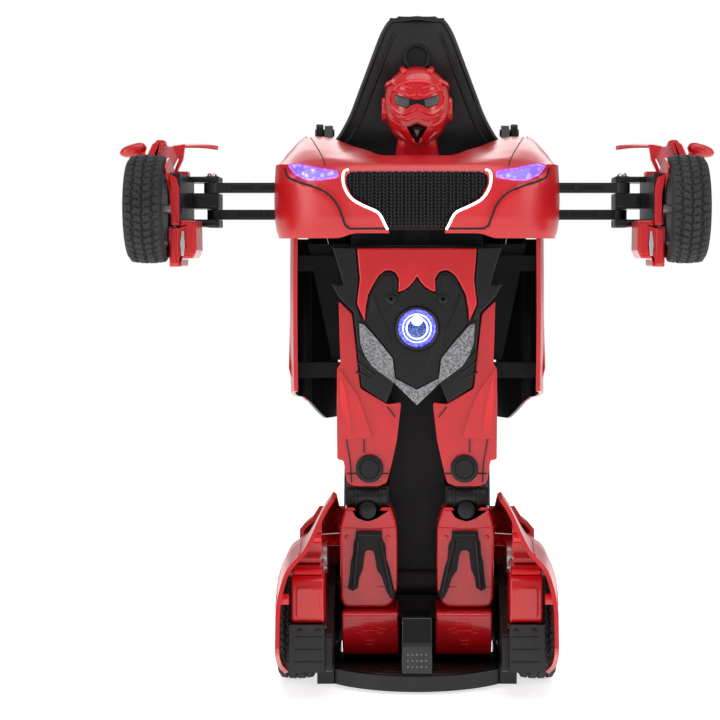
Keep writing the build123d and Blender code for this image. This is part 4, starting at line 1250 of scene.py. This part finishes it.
def make_arms():
    for label, side in BOTH:
        body = f"{label}_hand"
        keep([f"{label}_upper_link", f"{label}_lower_link", f"{label}_hand_bracket"], BLACK, 0.45, 2)
        for link, z, y in (("upper_link", 246.5, -29), ("lower_link", 233.5, -15)):
            spans = ((70, 76), (78, 90)) if link == "lower_link" else ((48, 60), (63, 78), (81, 92))
            for k, (x0, x1) in enumerate(spans):
                shape = [(side * x0, z - 1.6), (side * x1, z - 1.6), (side * x1, z + 1.6),
                         (side * x0, z + 1.6)]
                slab(f"{label}_{link}_panel_{k + 1}", shape, y - 0.35, y + 0.4, f"{label}_{link}", SHINE,
                     corner=0.6, bevel=0.2)
        # stacked knuckles round the two outer pins
        for k, (low, high) in enumerate(((226.9, 230.6), (236.4, 243.6), (249.4, 252.3))):
            for j, y in enumerate((-26, -12)):
                lathe(f"{label}_knuckle_{k + 1}_{j + 1}", [(0, low), (3.3, low), (3.8, low + 0.5),
                                                           (3.8, high - 0.5), (3.3, high), (0, high)],
                      (side * HAND_X, y, 0), "z", body, BLACK, closed=False, steps=40)
            shape = [(side * (HAND_X - 2.6), low + 0.6), (side * (HAND_X + 9), low + 0.6),
                     (side * (HAND_X + 9), high - 0.6), (side * (HAND_X - 2.6), high - 0.6)]
            slab(f"{label}_knuckle_face_{k + 1}", shape, -30.2, -29.2, body, SHINE, corner=0.6, bevel=0.25)
        lathe(f"{label}_pin_head", [(0, 252.2), (2.4, 252.2), (2.4, 253.2), (1.8, 253.8), (0, 253.8)],
              (side * HAND_X, -26, 0), "z", body, STEEL, closed=False, steps=32)

        # caliper: a curved red body on the wheel's inner side, with rivets and a bright insert
        outline = [(HAND_X + 3.4, 229.4), (HAND_X + 3.2, 215), (HAND_X + 5, 211.4), (HAND_X + 10.2, 211.4),
                   (HAND_X + 10.4, 207.4), (HAND_X + 16.2, 207.4), (HAND_X + 16.4, 226.6),
                   (HAND_X + 11.2, 226.8), (HAND_X + 11, 229.6)]
        caliper = slab(f"{label}_caliper_body", flipped(outline, side), -66.4, -40, body, GLOSS, corner=0.8,
                       crown=0.5, inset=1.0, bevel=0.5)
        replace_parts(caliper, f"{label}_caliper")
        plate = [(HAND_X + 11.6, 208.4), (HAND_X + 15.6, 208.4), (HAND_X + 15.8, 225.8),
                 (HAND_X + 11.8, 226)]
        slab(f"{label}_caliper_plate", flipped(plate, side), -67.6, -66.2, body, GLOSS, corner=0.8,
             crown=0.3, inset=0.8, bevel=0.3)
        for k in range(4):
            knob(f"{label}_caliper_rivet_{k + 1}", 0.85, (side * (HAND_X + 13.7), -67.3, 210.6 + 4.4 * k),
                 "y", -0.5, 0.4, body, GLOSS, edge=0.4, steps=20)
        bright = [(HAND_X + 9.2, 212.6), (HAND_X + 10.4, 212.6), (HAND_X + 11, 218), (HAND_X + 10.2, 224.4),
                  (HAND_X + 9.2, 224.4), (HAND_X + 8.6, 218)]
        slab(f"{label}_caliper_bright_insert", flipped(bright, side), -67.6, -66.4, body, STEEL, corner=0.4,
             bevel=0.25)
        bridge = [(HAND_X + 4.2, 213.4), (HAND_X + 8.2, 213.4), (HAND_X + 8.2, 228), (HAND_X + 4.2, 228)]
        slab(f"{label}_caliper_bridge", flipped(bridge, side), -67.5, -66.4, body, GLOSS, corner=0.7,
             bevel=0.3)

        # red arch liner over the inner side of the wheel
        rows = []
        for a in np.linspace(math.radians(38), math.radians(128), 26):
            rows.append([(side * (HAND_X + x), WHEEL_Y + radius * math.cos(a), WHEEL_Z
                          + radius * math.sin(a)) for x, radius in ((16.7, 17.2), (16.8, 20.8),
                                                                    (17.0, 24.4))])
        sheet(f"{label}_arch_liner", rows if side < 0 else rows[::-1], body, GLOSS, thickness=0.9,
              bevel=0.2, segments=2)
        strip = [(HAND_X + 11.3, 227.4), (HAND_X + 11.3, 245), (HAND_X + 12.6, 250), (HAND_X + 16.9, 251.8),
                 (HAND_X + 16.9, 247), (HAND_X + 15.4, 242), (HAND_X + 15.2, 227.4)]
        slab(f"{label}_liner_front", flipped(strip, side), -67.4, -65.8, body, GLOSS, corner=0.7, crown=0.3,
             inset=0.8, bevel=0.3)
        make_fender(label, side, body)


def make_fender(label, side, body):
    """The rear of the front wing: a thin curved leaf that also carries the door mirror."""
    low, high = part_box(f"{label}_fender")
    y0, y1 = low.y / MM, high.y / MM
    out = 68.48
    curve = smooth_line([(64.9, 222.4), (66.6, 236), (66.4, 248), (64.4, 258), (60.6, 265.4),
                         (57.4, 268.9)], 6)
    rows = []
    for x, z in curve:
        near = y0 + 0.3 + 4.2 * (1 - between(z, 222, 240))
        far = y1 - 0.3 - 3 * between(z, 250, 268)
        rows.append([(side * (x + out + 0.7 * math.sin(math.pi * v)), near + (far - near) * v, z)
                     for v in np.linspace(0, 1, 22)])
    skin = sheet(f"{label}_fender_skin", rows if side > 0 else rows[::-1], body, PAINT, thickness=1.7,
                 bevel=0.4, segments=2)
    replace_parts(skin, f"{label}_fender")
    leaf_line = smooth_line([(31, 267.0), (38, 268.0), (47, 268.2), (54, 267.4), (59.5, 263.6),
                             (62.8, 257.6)], 6)
    rows = []
    for i, (x, z) in enumerate(leaf_line):
        t = i / (len(leaf_line) - 1)
        half = 3.4 * between(t, -0.25, 0.45)
        mid = y0 + 13
        rows.append([(side * (x + out), mid + half * v, z + 0.3 * (1 - v * v) + 0.9 * v)
                     for v in np.linspace(-1, 1, 9)])
    sheet(f"{label}_fender_leaf", rows if side < 0 else rows[::-1], body, PAINT, thickness=0.9, bevel=0.2,
          segments=2)
    strap = [(58.2, 269.6), (62.2, 268.0), (66.9, 258), (67.7, 246), (67.2, 240), (63.6, 240), (63.7, 250),
             (62.2, 258), (56.6, 266.4)]
    panel = [(46.8, 266.9), (56.2, 266.6), (61.6, 258.4), (62.6, 254.8), (53, 254.8), (50.4, 260)]
    edge = [(46.2, 267.9), (52.4, 266.9), (49.4, 260.2), (52.2, 253.6), (50.4, 253.6), (47.4, 259.8)]
    clip = [(55.6, 266.8), (60.6, 266.8), (61.8, 268.6), (60, 270.2), (56.6, 270)]
    for name, outline, near, far, colour, edges in (
            ("strap", strap, 0.4, 2.6, PAINT, {"corner": 0.7, "crown": 0.4, "inset": 0.9, "bevel": 0.3}),
            ("panel", panel, 2.4, 3.8, PALE, {"corner": 0.7, "bevel": 0.3}),
            ("edge", edge, 1.4, 4.4, GLOSS, {"corner": 0.4, "bevel": 0.3}),
            ("clip", clip, 3, 9, GLOSS, {"corner": 0.9, "bevel": 0.5})):
        outline = flipped([(x + out, z) for x, z in outline], side)
        slab(f"{label}_fender_{name}", outline, y0 + near, y0 + far, body, colour, **edges)
    tie = [(HAND_X + 11.2, 252.2), (65.2 + out, 252.2), (65.2 + out, 254.5), (HAND_X + 11.2, 254.5)]
    slab(f"{label}_fender_tie", flipped(tie, side), y0 + 2, y0 + 10, body, GLOSS, corner=0.6, bevel=0.4)
    # mirror: a flattened pod on a short stalk, with a bright glass behind
    rows = []
    centre = (73.0 + out, y0 + 9.5, 265.2)
    reach, deep, tall = 6.8, 4.6, 4.1
    for i in range(17):
        t = -1 + 2 * i / 16
        size = max(0.04, (1 - abs(t) ** 2.6) ** 0.5)
        row = []
        for k in range(29):
            turn = 2 * math.pi * k / 28
            flat = 0.62 if math.cos(turn) > 0 else 1.0
            row.append((side * (centre[0] + reach * t), centre[1] + deep * flat * size * math.cos(turn),
                        centre[2] + tall * (0.84 - 0.16 * t) * size * math.sin(turn) - 1.3 * t))
        rows.append(row)
    closed_form(f"{label}_mirror_pod", rows, body, PAINT)
    slab(f"{label}_mirror_stalk", flipped([(66.6 + out, 260), (70.6 + out, 263), (71.4 + out, 266),
                                           (67.2 + out, 264.6)], side), y0 + 7, y0 + 12, body, PAINT,
         corner=0.8, bevel=0.5)
    glass = [(side * (centre[0] + 3.4 * math.cos(a)), 266 + 2.6 * math.sin(a)) for a in
             np.linspace(0, 2 * math.pi, 28, endpoint=False)]
    slab(f"{label}_mirror_glass", glass, y0 + 12.6, y0 + 11.6, body, STEEL, crown=0.15, inset=0.4,
         bevel=0.15)


def make_inner_frames():
    """The torso's black board and beams, the baffles beside them, and the frame inside the nose."""
    keep(["spine_frame"], MATTE, 0.6, 3)
    for label, side in BOTH:
        baffle = [(35, 159), (44, 159), (56.6, 219), (35, 219)]
        slab(f"{label}_torso_baffle", flipped(baffle, side), 9.2, 10.2, "torso", MATTE, bevel=0.2)
    keep(["chest_frame"], BLACK, 0.5, 2)


make_rear_shells()
make_tail()
make_base()
make_wheels()
make_arms()
make_inner_frames()


# stage ----------------------------------------------------------------------------------------------------
def make_stage():
    floor = bmesh.new()
    bmesh.ops.create_grid(floor, x_segments=1, y_segments=1, size=9000)
    mesh = bpy.data.meshes.new("floor")
    bmesh.ops.scale(floor, vec=(MM, MM, MM), verts=floor.verts)
    floor.to_mesh(mesh)
    floor.free()
    thing = add_object("floor", mesh)
    material, tree, shader, coords = new_material("pale_floor", (0.86, 0.86, 0.87), 0.42)
    cloudy = ramp(tree, noise(tree, coords, 1.5, 2), [(0.3, (0.85, 0.85, 0.86)), (0.7, (0.88, 0.88, 0.89))])
    tree.links.new(cloudy, shader.inputs["Base Color"])
    shader.inputs["Emission Color"].default_value = (1.0, 1.0, 1.0, 1)
    shader.inputs["Emission Strength"].default_value = 0.68
    mesh.materials.append(material)

    bpy.context.scene.view_settings.view_transform = "Standard"
    world = bpy.data.worlds.new("studio")
    bpy.context.scene.world = world
    world.use_nodes = True
    nodes, links = world.node_tree.nodes, world.node_tree.links
    nodes["Background"].inputs["Color"].default_value = (1.0, 1.0, 1.0, 1)
    seen = nodes.new("ShaderNodeLightPath").outputs["Is Camera Ray"]
    level = nodes.new("ShaderNodeMapRange")
    level.inputs["To Min"].default_value, level.inputs["To Max"].default_value = 0.36, 1.0
    links.new(seen, level.inputs["Value"])
    links.new(level.outputs["Result"], nodes["Background"].inputs["Strength"])

    def softbox(name, at, size, power, aim=(0, 0, 0.17)):
        light = bpy.data.lights.new(name, "AREA")
        light.shape, light.size, light.size_y, light.energy = "RECTANGLE", size[0], size[1], power
        holder = add_object(name, light)
        holder.location = at
        holder.rotation_euler = (Vector(aim) - Vector(at)).to_track_quat("-Z", "Y").to_euler()

    softbox("top_softbox", (0.1, -0.25, 1.3), (1.1, 0.8), 5)
    softbox("left_softbox", (-1.1, -0.8, 0.6), (0.5, 1.1), 5.5)
    softbox("right_softbox", (1.1, -0.7, 0.7), (0.5, 1.1), 4.5)
    softbox("back_softbox", (0.0, 1.2, 0.9), (1.2, 0.6), 5)

    camera = bpy.data.cameras.new("camera")
    holder = add_object("camera", camera)
    distance, seen_width, picture = 0.95, 0.362, 720
    rise = math.radians(2.5)
    target = Vector((0, -0.02, 0.168))
    holder.location = target + Vector((0, -distance * math.cos(rise), distance * math.sin(rise)))
    holder.rotation_euler = (target - holder.location).to_track_quat("-Z", "Y").to_euler()
    camera.lens = 36 * distance / seen_width
    camera.shift_x, camera.shift_y = -57 / picture, -15 / picture
    camera.clip_start = 0.01
    bpy.context.scene.camera = holder


make_stage()
bpy.context.view_layer.update()
